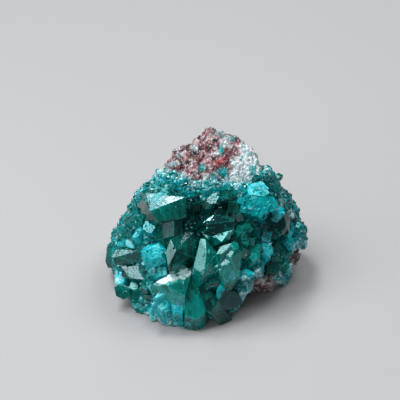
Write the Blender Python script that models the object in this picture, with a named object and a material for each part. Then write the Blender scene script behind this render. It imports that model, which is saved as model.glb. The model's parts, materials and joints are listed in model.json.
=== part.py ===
"""Dioptase on matrix: a hand-sized mineral specimen.

A wedge of reddish host rock stands on a trimmed flat underside. Its front, which leans back, carries a
crust of intergrown dioptase: stubby six-sided prisms, each closed by the three kite-shaped faces of a
rhombohedron, with a bed of smaller crystals between them.

Lengths in the lists are millimetres. The object is built in metres, +Z up, standing on z = 0, with the
crystals towards -Y. A place on the front is given on the picture plane, the plane that faces a viewer
who looks down by VIEW_TILT: "across" runs to the right and "up" runs up it, from the foot of the front.
"""

import math
import random
from collections import namedtuple

import bmesh
import bpy
from mathutils import Matrix, Vector, noise

MM = 0.001

# Driving dimensions
VIEW_TILT = 35.0
FOOT = Vector((0.0, -18.0, 0.0))
CORE = Vector((0.0, 2.0, 13.0))
# Takes the middle of the finished object's footprint to the origin
CENTRING = Vector((-0.24, -1.2, 0.0))
CRUST_THICK = 1.7
CRUST_SUNK = 1.6
GAP = 0.42
EMBED = 3.0
SEED = 41

# Growth steps beside the crystals wider than STEP_SPAN from their middle: how many each has, their share of
# the crystal's size, how far out towards a corner they stand and how far back
STEPS = 1
STEP_SPAN = 2.4
STEP_SIZES = (0.34, 0.6)
STEP_PLACES = (0.5, 0.85)
STEP_SETBACKS = (0.1, 0.35)
# Lesser companions of a crystal, as shares of its width: how far aside, how far back, and how wide
COMPANION_ASIDE = (0.32, 0.5)
COMPANION_BACK = (0.18, 0.45)
COMPANION_WIDTHS = (0.45, 0.7)
# How unevenly the prism's faces and the end faces have grown
PRISM_UNEVEN = (0.72, 1.12)
END_UNEVEN = 0.1

# Dioptase's own angle: the rhombohedron's faces lean 51 degrees from square to the prism
RHOMB_SLOPE = math.tan(math.radians(51.0))

# Mesh sizes
ROCK_DIVISIONS = 6
ROCK_FACES = 2300
CRUST_DIVISIONS = 5
CRUST_KEEP = 0.26
COVERED_FEWER = 700

RIGHT = Vector((1.0, 0.0, 0.0))
UP = Vector((0.0, math.sin(math.radians(VIEW_TILT)), math.cos(math.radians(VIEW_TILT))))
OUT = Vector((0.0, -math.cos(math.radians(VIEW_TILT)), math.sin(math.radians(VIEW_TILT))))

# Broken faces of the rock: azimuth from the front towards +X, elevation, distance from the core
BROKEN_FACES = (
    (0, 23, 9.8),
    (-5, -20, 18.6),
    (-44, 12, 14.4),
    (38, 14, 12.4),
    (38, -28, 16.2),
    (-80, 26, 15.8),
    (-104, 30, 14.4),
    (82, 24, 17.2),
    (-70, 50, 14.4),
    (66, 46, 19.6),
    (2, 45, 13.2),
    (-24, 81, 24.6),
    (180, 22, 15.0),
    (176, 58, 25.4),
    (124, 28, 17.2),
    (-138, 24, 16.0),
    (0, -90, 26.0),
    (90, -30, 20.8),
    (-90, -30, 20.0),
    (180, -30, 19.0),
)
EDGE_SHARPNESS = 18

# Knobs (+) and pits (-) of the rock: across, up, radius, height
ROCK_LUMPS = (
    (-0.6, 43.5, 2.3, 1.6),
    (-4.0, 42.4, 2.6, 0.6),
    (7.4, 41.0, 3.0, 0.6),
    (-6.0, 38.0, 3.2, 0.9),
    (4.5, 38.6, 3.0, 0.8),
    (9.5, 36.4, 3.4, 1.2),
    (1.0, 36.2, 2.2, -0.9),
    (-3.2, 34.2, 2.6, 0.9),
    (5.2, 34.6, 1.6, -0.8),
    (-1.2, 25.8, 4.6, -1.6),
    (12.6, 10.6, 3.0, 2.1),
    (20.2, 15.6, 2.8, 1.3),
    (-3.0, 2.0, 2.6, 2.6),
    (-9.8, 35.4, 3.0, 0.9),
)

# The rock's own relief: waves per millimetre, height, and where in the noise it is read
RELIEF = ((0.16, 0.75, Vector((0, 0, 0))), (0.33, 0.55, Vector((7, 3, 1))), (0.8, 0.22, Vector((0, 0, 0))))
LEDGE_WAVES = 0.24
LEDGE_HEIGHT = 0.40
LEDGE_STEEPNESS = 6.0

# Top edge of the crust on the picture plane: across, up
CRUST_RIM = ((-30, 33.0), (-10.5, 34.4), (-6.2, 33.6), (-3.0, 31.6), (0.6, 31.8), (5.0, 31.9), (8.4, 31.2),
             (11.6, 34.2), (14.0, 36.4), (30, 37.0))
# Bare patches of rock low on the front: across, up, radius
BARE_PATCHES = ((12.6, 10.4, 3.1), (9.6, 8.2, 2.0), (20.4, 15.6, 3.0), (-3.4, 0.4, 1.5))
# The crust wraps round the sides to these azimuths
WRAP_LEFT = -122.0
WRAP_RIGHT = 118.0
WRAP_MM_PER_DEGREE = 0.26
# The crust ends this far above the surface it stands on, and thins out over this far either side of its edge
CRUST_FOOT = 0.6
EDGE_THINNING = 0.35

Block = namedtuple("Block", "clock lean depth corners")
Crystal = namedtuple("Crystal", "across up clock lean width length roll steps")


def facet(outline, right, up, out):
    """The corners of a flat face given by its outline on the picture plane.

    Its normal is turned right and up from the viewer by these degrees, and its middle stands this far out
    from the rock. Each corner comes back as (across, up, out).
    """
    middle_across = sum(corner[0] for corner in outline) / len(outline)
    middle_up = sum(corner[1] for corner in outline) / len(outline)
    fall_right = math.tan(math.radians(right))
    fall_up = math.tan(math.radians(up))
    return [(u, v, out - fall_right * (u - middle_across) - fall_up * (v - middle_up)) for u, v in outline]


# The large crystals, each from the corners of its faces as (across, up, out from the rock), which run back
# into the crust along its axis: the clock angle of the axis on the picture plane (0 right, 90 up) and its
# lean away from the viewer, both in degrees, and the depth.
BLOCKS = (
    # upper left: the big stepped block, its raised blades, and the column under it
    Block(60, 35, 7.0,
          facet(((-11.6, 26.5), (-9.9, 24.2), (-3.8, 25.1), (-3.9, 29.4), (-7.2, 27.8)), 4, -6, 5.2)
          + [(-12.6, 30.4, 2.6), (-9.6, 32.0, 1.4), (-4.4, 30.6, 2.4), (-12.4, 28.0, 3.8)]),
    Block(70, 40, 5.0,
          facet(((-9.1, 29.3), (-9.1, 27.5), (-7.3, 27.7)), -14, 24, 5.4)
          + [(-8.0, 29.8, 4.0)]),
    Block(50, 45, 5.0,
          facet(((-9.3, 31.7), (-9.0, 31.0), (-7.2, 29.0), (-6.7, 29.1), (-6.8, 29.6)), 18, 22, 4.0)),
    Block(110, 45, 5.0, facet(((-12.5, 31.6), (-11.7, 30.1), (-10.5, 30.2), (-11.4, 31.0)), -12, 24, 3.4)),
    Block(86, 50, 8.0,
          facet(((-6.6, 24.8), (-4.7, 24.8), (-4.9, 21.5), (-6.4, 21.2)), 24, 6, 3.6)
          + facet(((-9.0, 24.8), (-6.7, 24.8), (-6.5, 21.2), (-8.8, 20.6)), -8, 6, 3.9)
          + [(-10.5, 24.6, 2.4), (-10.3, 20.4, 2.6)]),
    Block(130, 40, 5.0,
          facet(((-13.0, 22.4), (-12.7, 24.2), (-11.0, 24.6), (-10.5, 23.0), (-11.2, 22.0)), -16, 18, 3.4)),
    Block(150, 50, 5.0,
          facet(((-15.0, 28.0), (-15.2, 26.0), (-13.6, 25.4), (-12.4, 26.6), (-13.2, 28.6)), -20, 10, 2.6)),
    # under the rim: grey facets round the dark hollow
    Block(80, 40, 4.0,
          facet(((-2.0, 22.4), (-1.2, 24.8), (0.1, 24.7), (0.2, 22.0), (-0.9, 21.3)), -10, 8, 2.4)),
    Block(40, 45, 4.0,
          facet(((2.1, 25.6), (3.0, 27.2), (4.2, 27.4), (4.6, 25.8)), 16, 12, 2.4)
          + [(2.0, 28.6, 1.0), (5.0, 28.0, 1.2)]),
    Block(100, 50, 4.0,
          facet(((4.8, 26.2), (5.2, 28.6), (7.2, 28.4), (7.6, 26.4)), 6, 16, 2.8)
          + [(6.2, 30.0, 1.2)]),
    Block(60, 50, 4.0, facet(((0.2, 28.4), (1.8, 30.2), (3.2, 29.6), (2.4, 28.0)), -10, 22, 2.2)),
    Block(100, 50, 4.0, facet(((3.4, 29.0), (4.4, 31.2), (6.4, 31.0), (6.0, 29.2)), 10, 20, 2.4)),
    # the level block with a striped top
    Block(20, 35, 6.0,
          facet(((0.4, 23.7), (6.4, 24.4), (6.2, 22.6), (2.6, 21.4), (0.7, 22.4)), 4, -14, 4.4)
          + facet(((0.3, 24.6), (2.1, 25.8), (5.4, 25.4), (6.4, 24.4), (0.5, 23.7)), 0, 30, 4.0)),
    # upper right: the bright block, the dark one under it, and their neighbours
    Block(100, 16, 7.0,
          facet(((7.6, 26.4), (12.1, 25.0), (14.2, 28.0), (12.6, 30.4), (9.4, 30.6),
                 (7.7, 28.6)), 6, 20, 5.0)
          + [(10.8, 24.9, 4.6), (13.2, 26.0, 5.0)]),
    Block(70, 50, 5.0,
          facet(((9.4, 30.0), (9.2, 32.0), (12.0, 33.0), (13.8, 31.4), (13.0, 29.6)), 12, 26, 3.4)),
    Block(60, 30, 6.0,
          facet(((12.3, 24.2), (14.0, 26.6), (16.9, 26.9), (17.6, 23.4), (16.4, 21.2),
                 (13.2, 20.8)), 12, 4, 4.4)
          + [(18.6, 25.0, 1.6), (18.4, 21.8, 1.8)]),
    Block(20, 60, 5.0,
          facet(((17.2, 24.6), (18.8, 24.8), (19.6, 22.4), (18.6, 20.2), (17.4, 21.4)), 34, 6, 2.6)),
    Block(60, 50, 4.0, facet(((14.6, 25.6), (14.9, 27.2), (16.9, 27.0), (16.8, 25.6)), 4, 22, 4.6)),
    Block(60, 55, 4.0, facet(((6.4, 22.4), (7.2, 23.6), (9.0, 23.4), (8.8, 22.2), (7.4, 21.6)), 6, 6, 3.0)),
    Block(90, 40, 4.0, facet(((7.9, 20.4), (7.9, 22.2), (9.1, 22.1), (9.1, 20.3)), 10, 4, 3.4)),
    Block(80, 40, 3.0, facet(((8.1, 19.7), (9.4, 20.1), (9.4, 19.3)), 8, 26, 4.0)),
    # centre: the pale pointed faces and the tall prisms that carry them
    Block(105, 42, 8.0,
          facet(((-7.3, 20.4), (-6.1, 18.0), (-7.8, 14.6), (-8.3, 17.7)), -26, 14, 5.0)
          + [(-4.2, 21.9, 3.2), (-2.2, 22.0, 2.6), (-1.4, 20.3, 2.8), (-2.6, 16.6, 3.6),
             (-5.9, 21.4, 3.6)]),
    Block(90, 40, 6.0,
          facet(((-6.9, 14.6), (-6.5, 16.2), (-5.2, 17.4), (-4.4, 16.4), (-5.2, 15.2)), 12, 22, 5.6)
          + [(-3.6, 14.2, 4.6), (-7.2, 13.4, 4.6)]),
    Block(84, 38, 9.0,
          facet(((-0.8, 20.7), (0.4, 17.8), (0.0, 14.2), (-0.8, 13.4), (-2.4, 14.7)), -24, 14, 5.8)
          + [(0.3, 20.5, 5.0), (2.7, 17.6, 4.2), (2.8, 13.6, 3.8), (1.0, 12.8, 4.4)]),
    Block(30, 40, 5.0,
          facet(((2.0, 21.2), (5.9, 23.0), (3.7, 19.9)), -8, 20, 4.2)
          + [(5.6, 20.6, 3.0)]),
    Block(100, 40, 5.0, facet(((-0.4, 21.5), (0.3, 22.9), (1.4, 21.1), (0.7, 20.7)), -6, 22, 4.0)),
    Block(50, 40, 5.0, facet(((6.0, 21.4), (7.6, 21.6), (7.8, 19.4), (5.6, 19.6)), 10, 6, 3.2)),
    Block(68, 44, 9.0,
          facet(((2.4, 17.3), (3.4, 19.0), (5.9, 19.8), (5.2, 18.7), (3.8, 17.4)), -16, 24, 5.0)
          + [(3.0, 14.6, 4.4), (6.6, 18.6, 4.0)]),
    Block(68, 44, 9.0,
          facet(((4.0, 17.4), (5.8, 18.9), (6.7, 18.5), (5.6, 16.6)), -8, 24, 5.5)
          + [(8.1, 17.8, 4.2), (7.4, 12.4, 3.6), (4.6, 12.0, 4.2)]),
    Block(68, 44, 9.0,
          facet(((2.7, 16.2), (4.3, 17.4), (5.4, 16.4), (5.2, 15.2), (3.5, 14.8)), -12, 20, 5.9)
          + [(6.9, 15.6, 5.0), (6.6, 11.8, 4.4), (4.4, 11.2, 4.8), (3.2, 13.0, 5.0)]),
    Block(60, 44, 5.0, facet(((6.1, 19.3), (6.9, 19.9), (7.4, 19.0), (6.5, 18.6)), 6, 26, 5.2)),
    # the bright upward face and the tall green prism that it closes
    Block(88, 50, 9.0,
          facet(((-10.5, 11.3), (-7.8, 12.9), (-3.2, 13.9), (-2.7, 13.5), (-4.7, 11.5),
                 (-7.8, 10.6)), -6, 34, 5.4)
          + facet(((-7.2, 10.7), (-4.7, 11.5), (-4.2, 8.2), (-6.6, 8.0)), -6, -6, 5.6)),
    Block(88, 40, 8.0,
          facet(((-4.6, 11.5), (-2.8, 13.5), (-0.6, 8.6), (0.2, 4.8), (-1.6, 3.2), (-4.2, 4.0)), 8, 4, 4.4)
          + [(0.9, 5.9, 3.4)]),
    Block(120, 45, 6.0,
          facet(((-11.1, 7.4), (-9.8, 9.4), (-7.4, 10.6), (-7.0, 10.2), (-8.4, 8.8)), -10, 28, 4.6)),
    Block(100, 40, 6.0,
          facet(((-10.9, 6.5), (-9.6, 8.1), (-8.0, 8.9), (-7.9, 5.8), (-9.2, 5.2)), -4, 12, 4.8)
          + [(-6.4, 6.6, 3.6)]),
    Block(95, 35, 5.0,
          facet(((-7.0, 7.4), (-5.0, 8.0), (-4.0, 6.4), (-4.8, 4.4), (-6.8, 4.6)), 4, 10, 3.8)),
    # lower right
    Block(130, 40, 7.0,
          facet(((-1.6, 10.5), (0.2, 10.6), (2.5, 8.0), (2.7, 6.4), (1.2, 4.6), (0.4, 5.0)), 14, -10, 4.6)),
    Block(60, 44, 6.0,
          facet(((-0.4, 12.3), (1.0, 13.1), (3.1, 13.0), (3.1, 11.8), (1.8, 11.2), (0.9, 10.4)), 6, 20, 5.0)
          + [(3.0, 10.2, 4.0)]),
    Block(80, 45, 5.0, facet(((2.9, 9.7), (3.3, 11.1), (4.7, 11.3), (4.4, 9.8), (3.2, 9.0)), 0, 20, 4.4)),
    Block(300, 50, 6.0,
          facet(((2.6, 7.8), (4.4, 9.4), (6.6, 9.2), (8.2, 7.2), (6.6, 5.4), (3.4, 4.8)), 16, -16, 3.4)),
    Block(320, 50, 5.0, facet(((6.6, 9.6), (8.4, 10.6), (9.0, 8.2), (8.4, 6.6), (6.8, 6.8)), 20, -6, 2.6)),
    # right-hand mass
    Block(80, 40, 5.0,
          facet(((12.3, 20.3), (12.4, 22.8), (13.2, 20.6)), -8, 14, 4.4)
          + [(14.6, 21.6, 3.4), (14.0, 19.4, 3.8)]),
    Block(70, 40, 6.0,
          facet(((12.3, 19.8), (14.0, 20.2), (14.8, 18.2), (13.8, 16.8), (12.4, 17.6)), 8, 10, 4.6)),
    Block(60, 45, 6.0,
          facet(((9.0, 17.6), (9.8, 19.4), (11.8, 19.0), (12.0, 16.6), (10.2, 15.8)), -4, 12, 4.2)),
    Block(100, 18, 6.0,
          facet(((9.8, 15.6), (11.6, 16.6), (13.0, 15.4), (12.6, 13.4), (10.6, 13.2)), 4, 6, 4.2)),
    Block(100, 14, 5.0,
          facet(((6.8, 13.4), (9.0, 14.0), (10.6, 13.2), (9.8, 12.2), (7.2, 12.2)), 0, 24, 3.8)),
    Block(40, 50, 6.0,
          facet(((14.4, 18.6), (16.2, 19.6), (17.6, 17.8), (16.6, 15.6), (14.8, 16.0)), 18, 6, 3.6)),
    Block(40, 20, 6.0,
          facet(((13.4, 15.6), (15.4, 16.2), (16.8, 14.2), (15.8, 12.8), (13.6, 13.2)), 16, -4, 3.4)),
    Block(10, 60, 5.0, facet(((17.0, 20.0), (19.4, 20.6), (20.4, 18.8), (18.4, 17.8)), 34, 10, 3.0)),
    Block(30, 30, 5.0, facet(((16.2, 14.6), (18.0, 15.6), (18.2, 13.2), (16.8, 11.8)), 32, -6, 3.0)),
    # the vivid chunk on the left and the left-pointing prisms
    Block(120, 30, 7.0,
          facet(((-13.7, 17.9), (-12.2, 19.2), (-9.6, 19.8), (-8.2, 18.4), (-8.2, 15.6), (-10.6, 14.6),
                 (-13.0, 15.6)), -6, 8, 4.2)
          + facet(((-12.6, 17.8), (-11.4, 18.8), (-9.6, 18.6), (-9.2, 16.8), (-11.4, 16.2)), -4, 10, 5.0)),
    Block(110, 35, 6.0,
          facet(((-12.2, 13.6), (-11.0, 14.8), (-8.2, 14.6), (-8.0, 13.0), (-10.4, 12.3)), -2, 20, 4.2)),
    Block(172, 66, 9.0,
          facet(((-17.4, 19.4), (-16.6, 20.5), (-13.2, 19.5), (-13.3, 18.7), (-15.8, 18.4)), -12, 26, 4.4)
          + [(-19.4, 19.0, 2.2), (-15.4, 21.4, 2.6)]),
    Block(184, 66, 10.0,
          facet(((-20.0, 16.7), (-19.0, 18.3), (-17.8, 18.8), (-16.4, 18.0), (-17.0, 16.9),
                 (-18.6, 16.3)), -16, 24, 4.8)
          + facet(((-19.8, 16.2), (-16.8, 16.9), (-14.2, 17.9), (-13.8, 15.4), (-16.6, 14.9),
                   (-19.6, 15.1)), -6, -20, 5.2)),
    Block(184, 66, 10.0,
          facet(((-21.7, 16.2), (-21.4, 18.4), (-19.8, 18.7), (-20.0, 16.6)), -30, 16, 3.2)
          + [(-21.9, 15.2, 2.2), (-21.4, 13.9, 1.6), (-19.9, 13.7, 2.4)]),
    Block(160, 70, 8.0, facet(((-21.3, 18.7), (-20.2, 20.0), (-18.4, 20.2), (-18.6, 18.8)), -26, 10, 1.8)),
    Block(140, 50, 6.0,
          facet(((-17.8, 20.8), (-17.8, 23.0), (-16.2, 24.2), (-14.6, 23.4), (-14.8, 21.0)), -22, 10, 3.2)),
    Block(130, 45, 6.0,
          facet(((-15.7, 20.7), (-15.0, 21.8), (-13.7, 23.1), (-13.3, 22.4), (-14.4, 20.7)), -6, 20, 4.2)),
    # lower left
    Block(130, 40, 7.0,
          facet(((-17.8, 14.0), (-16.4, 14.5), (-14.0, 14.8), (-12.3, 12.5), (-13.2, 11.6),
                 (-16.2, 11.9)), -10, 20, 4.8)
          + [(-18.0, 12.4, 3.6)]),
    Block(190, 55, 7.0,
          facet(((-19.6, 12.2), (-18.6, 13.2), (-17.4, 12.6), (-17.3, 11.0), (-18.2, 10.3),
                 (-19.6, 10.5)), -20, 14, 3.2)),
    Block(200, 50, 7.0,
          facet(((-19.7, 9.9), (-18.0, 10.4), (-16.4, 9.8), (-16.5, 7.9), (-17.6, 7.1),
                 (-19.3, 7.9)), -18, -8, 3.0)),
    Block(140, 40, 5.0,
          facet(((-16.5, 10.0), (-15.5, 11.4), (-14.8, 10.8), (-14.4, 9.7), (-15.5, 9.3)), -12, 20, 3.8)),
    Block(120, 40, 5.0,
          facet(((-12.0, 9.9), (-12.0, 11.0), (-11.2, 11.6), (-10.2, 10.4), (-10.4, 9.3),
                 (-11.3, 9.1)), -8, 16, 4.4)),
    Block(215, 50, 7.0,
          facet(((-16.4, 7.2), (-15.5, 8.9), (-14.0, 8.4), (-12.7, 7.0), (-12.6, 4.9), (-13.8, 4.0),
                 (-15.2, 4.6)), -12, -6, 3.2)),
    Block(250, 45, 6.0,
          facet(((-12.4, 4.8), (-10.8, 5.6), (-9.4, 4.6), (-9.6, 3.0), (-11.6, 2.8)), -4, -8, 2.6)),
    Block(265, 45, 6.0,
          facet(((-8.6, 4.4), (-6.6, 4.6), (-5.8, 3.2), (-7.2, 2.0), (-8.6, 2.6)), 4, -8, 2.6)),
)
# Smaller crystals set by hand, with their tips' places, axes, widths across the prism, lengths, rolls and
# the number of lesser individuals that share each one's direction
CRYSTALS = (
    Crystal(-13.6, 30.6, 150, 50, 2.6, 3.0, 10, 1),
    Crystal(-14.6, 24.9, 160, 55, 2.6, 3.0, 30, 1),
    Crystal(14.8, 30.4, 40, 54, 2.8, 3.0, 0, 2),
    Crystal(15.8, 28.6, 30, 54, 2.4, 2.6, 20, 1),
    Crystal(10.6, 22.6, 350, 40, 2.6, 2.6, 10, 1),
    Crystal(10.8, 20.6, 20, 40, 2.8, 3.2, 40, 1),
    Crystal(16.2, 21.4, 350, 44, 2.6, 3.0, 15, 1),
    Crystal(8.6, 18.4, 60, 38, 2.4, 4.2, 0, 1),
    Crystal(8.0, 15.6, 30, 34, 2.6, 3.0, 25, 1),
    Crystal(-3.0, 15.8, 60, 40, 2.6, 3.6, 20, 1),
    Crystal(5.2, 10.6, 330, 40, 2.6, 3.0, 30, 1),
    Crystal(-13.4, 10.2, 170, 34, 2.6, 3.0, 12, 2),
    Crystal(-13.0, 8.4, 190, 34, 2.4, 2.8, 40, 2),
    Crystal(-8.6, 12.6, 100, 40, 2.2, 2.8, 30, 0),
    Crystal(-4.4, 4.4, 270, 36, 2.6, 3.0, 0, 1),
    Crystal(-3.0, 1.6, 270, 52, 2.6, 3.4, 20, 1),
    Crystal(18.6, 14.4, 350, 60, 2.4, 2.8, 8, 1),
    Crystal(-11.6, 21.0, 120, 44, 2.4, 3.0, 20, 1),
    Crystal(-9.4, 20.6, 110, 44, 2.2, 3.0, 45, 0),
)
# Small crystals that fill the crust: how many, the tries at placing them, their widths and their elevations
FILL_COUNT = 76
FILL_TRIES = 6000
FILL_WIDTHS = (2.0, 3.4)
FILL_ELEVATIONS = (-40.0, 62.0)
FILL_TILT = 0.35
# How far they stand out of the crust, in their own widths, and how deep they root in it
FILL_PROUD = (0.45, 0.8)
FILL_ROOT = 1.2
# Round the sides, between these azimuths, they grow narrower by this share
SIDE_FROM = 40.0
SIDE_TO = 85.0
SIDE_NARROWER = 0.4


def place(across, up, out):
    """The point with these millimetres on the picture plane and out of it."""
    return FOOT + RIGHT * across + UP * up + OUT * out


def on_picture(point):
    """(across, up, out) of a point."""
    offset = point - FOOT
    return offset.dot(RIGHT), offset.dot(UP), offset.dot(OUT)


def bearing(azimuth, elevation):
    a = math.radians(azimuth)
    e = math.radians(elevation)
    return Vector((math.sin(a) * math.cos(e), -math.cos(a) * math.cos(e), math.sin(e)))


def broken_radius(direction):
    """Distance from the core to the rock's broken faces, with their edges worn a little round."""
    total = 0.0
    for azimuth, elevation, distance in BROKEN_FACES:
        toward = bearing(azimuth, elevation).dot(direction)
        if toward > 0.0:
            total += (toward / distance) ** EDGE_SHARPNESS
    return total ** (-1.0 / EDGE_SHARPNESS)


def relief(point):
    """Lumps, ledges and pits of the rock, in millimetres."""
    across, up, _ = on_picture(point)
    height = sum(amount * noise.noise(point * waves + start) for waves, amount, start in RELIEF)
    ledges = noise.noise(point * LEDGE_WAVES + Vector((2, 9, 4)))
    height += LEDGE_HEIGHT * math.tanh(LEDGE_STEEPNESS * ledges)
    for lump_across, lump_up, radius, lump in ROCK_LUMPS:
        far = ((across - lump_across) ** 2 + (up - lump_up) ** 2) / radius**2
        if far < 4.0 and point.y < CORE.y + 8.0:
            height += lump * math.exp(-1.5 * far)
    return height


def rock_radius(direction):
    radius = broken_radius(direction)
    return radius + relief(CORE + direction * radius)


def rock_out(across, up):
    """How far out of the picture plane the rock's surface lies at a place on it, or None past its edge."""
    step = 0.5
    out = 26.0
    while out > -34.0:
        offset = place(across, up, out) - CORE
        if offset.length < rock_radius(offset.normalized()):
            return out
        out -= step
    return None


def between(value, low, high):
    """0 at low, 1 at high, smooth between."""
    share = min(1.0, max(0.0, (value - low) / (high - low)))
    return share * share * (3.0 - 2.0 * share)


def rim_height(across):
    for (left, low), (right, high) in zip(CRUST_RIM, CRUST_RIM[1:]):
        if across <= right:
            return low + (high - low) * max(0.0, across - left) / (right - left)
    return CRUST_RIM[-1][1]


def crust_inside(point):
    """Millimetres from the crust's edge at a point of the rock, positive where crust covers it."""
    across, up, _ = on_picture(point)
    ragged = 0.9 * noise.noise(point * 0.45 + Vector((4, 4, 4))) + 0.5 * noise.noise(point * 1.1)
    inside = rim_height(across) - up
    azimuth = math.degrees(math.atan2(point.x - CORE.x, CORE.y - point.y))
    wrap = min(azimuth - WRAP_LEFT, WRAP_RIGHT - azimuth) * WRAP_MM_PER_DEGREE
    inside = min(inside, wrap, point.z - CRUST_FOOT)
    for patch_across, patch_up, radius in BARE_PATCHES:
        inside = min(inside, math.hypot(across - patch_across, up - patch_up) - radius)
    return inside + ragged


def crust_radius(direction):
    radius = rock_radius(direction)
    point = CORE + direction * radius
    share = between(crust_inside(point), -EDGE_THINNING, EDGE_THINNING)
    bumps = 0.35 * noise.noise(point * 0.7 + Vector((1, 5, 8)))
    return radius - CRUST_SUNK + (CRUST_SUNK + CRUST_THICK + bumps) * share


def add_object(name, bm, hidden=False):
    """An object in metres from a mesh in millimetres."""
    bmesh.ops.scale(bm, vec=(MM, MM, MM), verts=bm.verts)
    mesh = bpy.data.meshes.new(name)
    bm.to_mesh(mesh)
    bm.free()
    obj = bpy.data.objects.new(name, mesh)
    bpy.context.scene.collection.objects.link(obj)
    if hidden:
        obj.hide_render = True
        obj.display_type = "WIRE"
    return obj


def cut_flat(bm, height):
    """Cuts a closed mesh off below a height and closes it with one flat face."""
    geometry = bm.verts[:] + bm.edges[:] + bm.faces[:]
    cut = bmesh.ops.bisect_plane(bm, geom=geometry, plane_co=(0, 0, height), plane_no=(0, 0, 1),
                                 clear_inner=True)
    edges = [part for part in cut["geom_cut"] if isinstance(part, bmesh.types.BMEdge)]
    bmesh.ops.contextual_create(bm, geom=edges)
    bmesh.ops.recalc_face_normals(bm, faces=bm.faces)


def star_shape(radius_of, divisions):
    """A closed mesh whose surface lies at radius_of(direction) from the core."""
    bm = bmesh.new()
    bmesh.ops.create_icosphere(bm, subdivisions=divisions, radius=1.0)
    for vert in bm.verts:
        direction = vert.co.normalized()
        vert.co = CORE + direction * radius_of(direction)
    return bm


def evaluated_mesh(obj):
    graph = bpy.context.evaluated_depsgraph_get()
    return bpy.data.meshes.new_from_object(obj.evaluated_get(graph))


def simpler(bm, faces, where=None):
    """The mesh collapsed to about this many faces, only where the test where(point) holds if there is one."""
    kept = [0.0 if where is None or where(vert.co) else 1.0 for vert in bm.verts]
    helper = add_object("helper", bm)
    modifier = helper.modifiers.new("simpler", "DECIMATE")
    modifier.ratio = faces / len(helper.data.polygons)
    if where is not None:
        group = helper.vertex_groups.new(name="kept")
        for index, weight in enumerate(kept):
            group.add([index], weight, "REPLACE")
        modifier.vertex_group = "kept"
        modifier.invert_vertex_group = True
    mesh = evaluated_mesh(helper)
    bpy.data.objects.remove(helper)
    bm = bmesh.new()
    bm.from_mesh(mesh)
    bmesh.ops.scale(bm, vec=(1 / MM, 1 / MM, 1 / MM), verts=bm.verts)
    return bm


def clip(bm, point, normal):
    """Cuts away the side of a convex mesh that the normal points to, and closes the cut."""
    geometry = bm.verts[:] + bm.edges[:] + bm.faces[:]
    cut = bmesh.ops.bisect_plane(bm, geom=geometry, plane_co=point, plane_no=normal, clear_outer=True)
    edges = [part for part in cut["geom_cut"] if isinstance(part, bmesh.types.BMEdge)]
    if edges:
        bmesh.ops.contextual_create(bm, geom=edges)


def crystal_shape(width, length, rng):
    """An unevenly grown crystal along +Z with its tip near the origin: six prism faces, three end faces."""
    bm = bmesh.new()
    bmesh.ops.create_cube(bm, size=2.0 * (width + length))
    clip(bm, Vector((0, 0, -length)), Vector((0, 0, -1)))
    for k in range(6):
        angle = math.radians(60 * k)
        normal = Vector((math.cos(angle), math.sin(angle), 0.0))
        clip(bm, normal * width * 0.5 * rng.uniform(*PRISM_UNEVEN), normal)
    for k in range(3):
        angle = math.radians(30 + 120 * k)
        normal = Vector((math.cos(angle) * RHOMB_SLOPE, math.sin(angle) * RHOMB_SLOPE, 1.0)).normalized()
        clip(bm, normal * width * rng.uniform(-END_UNEVEN, END_UNEVEN), normal)
    bmesh.ops.recalc_face_normals(bm, faces=bm.faces)
    return bm


def hull_shape(points):
    """The convex mesh round some points, with its flat faces whole."""
    bm = bmesh.new()
    verts = [bm.verts.new(point) for point in points]
    hull = bmesh.ops.convex_hull(bm, input=verts)
    loose = [part for part in hull["geom_interior"] if isinstance(part, bmesh.types.BMVert)]
    bmesh.ops.delete(bm, geom=loose, context="VERTS")
    bmesh.ops.dissolve_limit(bm, angle_limit=math.radians(2.0), verts=bm.verts, edges=bm.edges)
    bmesh.ops.recalc_face_normals(bm, faces=bm.faces)
    return bm


def pointing(axis, roll):
    """The turn that takes +Z to the axis and rolls about it."""
    return axis.to_track_quat("Z", "Y").to_matrix().to_4x4() @ Matrix.Rotation(math.radians(roll), 4, "Z")


def add_helper(collection, bm):
    obj = add_object("crystal", bm, hidden=True)
    bpy.context.scene.collection.objects.unlink(obj)
    collection.objects.link(obj)


def add_crystal(collection, rng, tip, axis, width, length, roll):
    bm = crystal_shape(width, length, rng)
    bmesh.ops.transform(bm, matrix=Matrix.Translation(tip) @ pointing(axis, roll), verts=bm.verts)
    add_helper(collection, bm)


def axis_of(clock, lean):
    c = math.radians(clock)
    t = math.radians(lean)
    return RIGHT * (math.sin(t) * math.cos(c)) + UP * (math.sin(t) * math.sin(c)) + OUT * math.cos(t)


def nearest_rock_out(across, up):
    """How far out the rock lies at a place, or at the nearest place towards its middle that has rock."""
    out = rock_out(across, up)
    while out is None:
        across *= 0.96
        up += 0.04 * (20.0 - up)
        out = rock_out(across, up)
    return out


def tip_of(crystal):
    """The tip in space. The rock under the root sets how far out it stands."""
    axis = axis_of(crystal.clock, crystal.lean)
    reach = crystal.length + CRUST_THICK * 0.5
    out = nearest_rock_out(crystal.across - reach * axis.dot(RIGHT), crystal.up - reach * axis.dot(UP))
    return place(crystal.across, crystal.up, out + reach * axis.dot(OUT))


def add_steps(collection, rng, front, middle, axis, depth):
    """Growth steps: smaller copies of a large crystal beside its edges, their faces parallel to its own."""
    span = max((corner - middle).length for corner in front)
    for _ in range(STEPS if span > STEP_SPAN else 0):
        corner = rng.choice(front)
        share = rng.uniform(*STEP_SIZES)
        start = middle + (corner - middle) * rng.uniform(*STEP_PLACES)
        start -= axis * rng.uniform(*STEP_SETBACKS) * span
        step = [start + (point - middle) * share for point in front]
        add_helper(collection, hull_shape(step + [point - axis * depth for point in step]))


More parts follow.
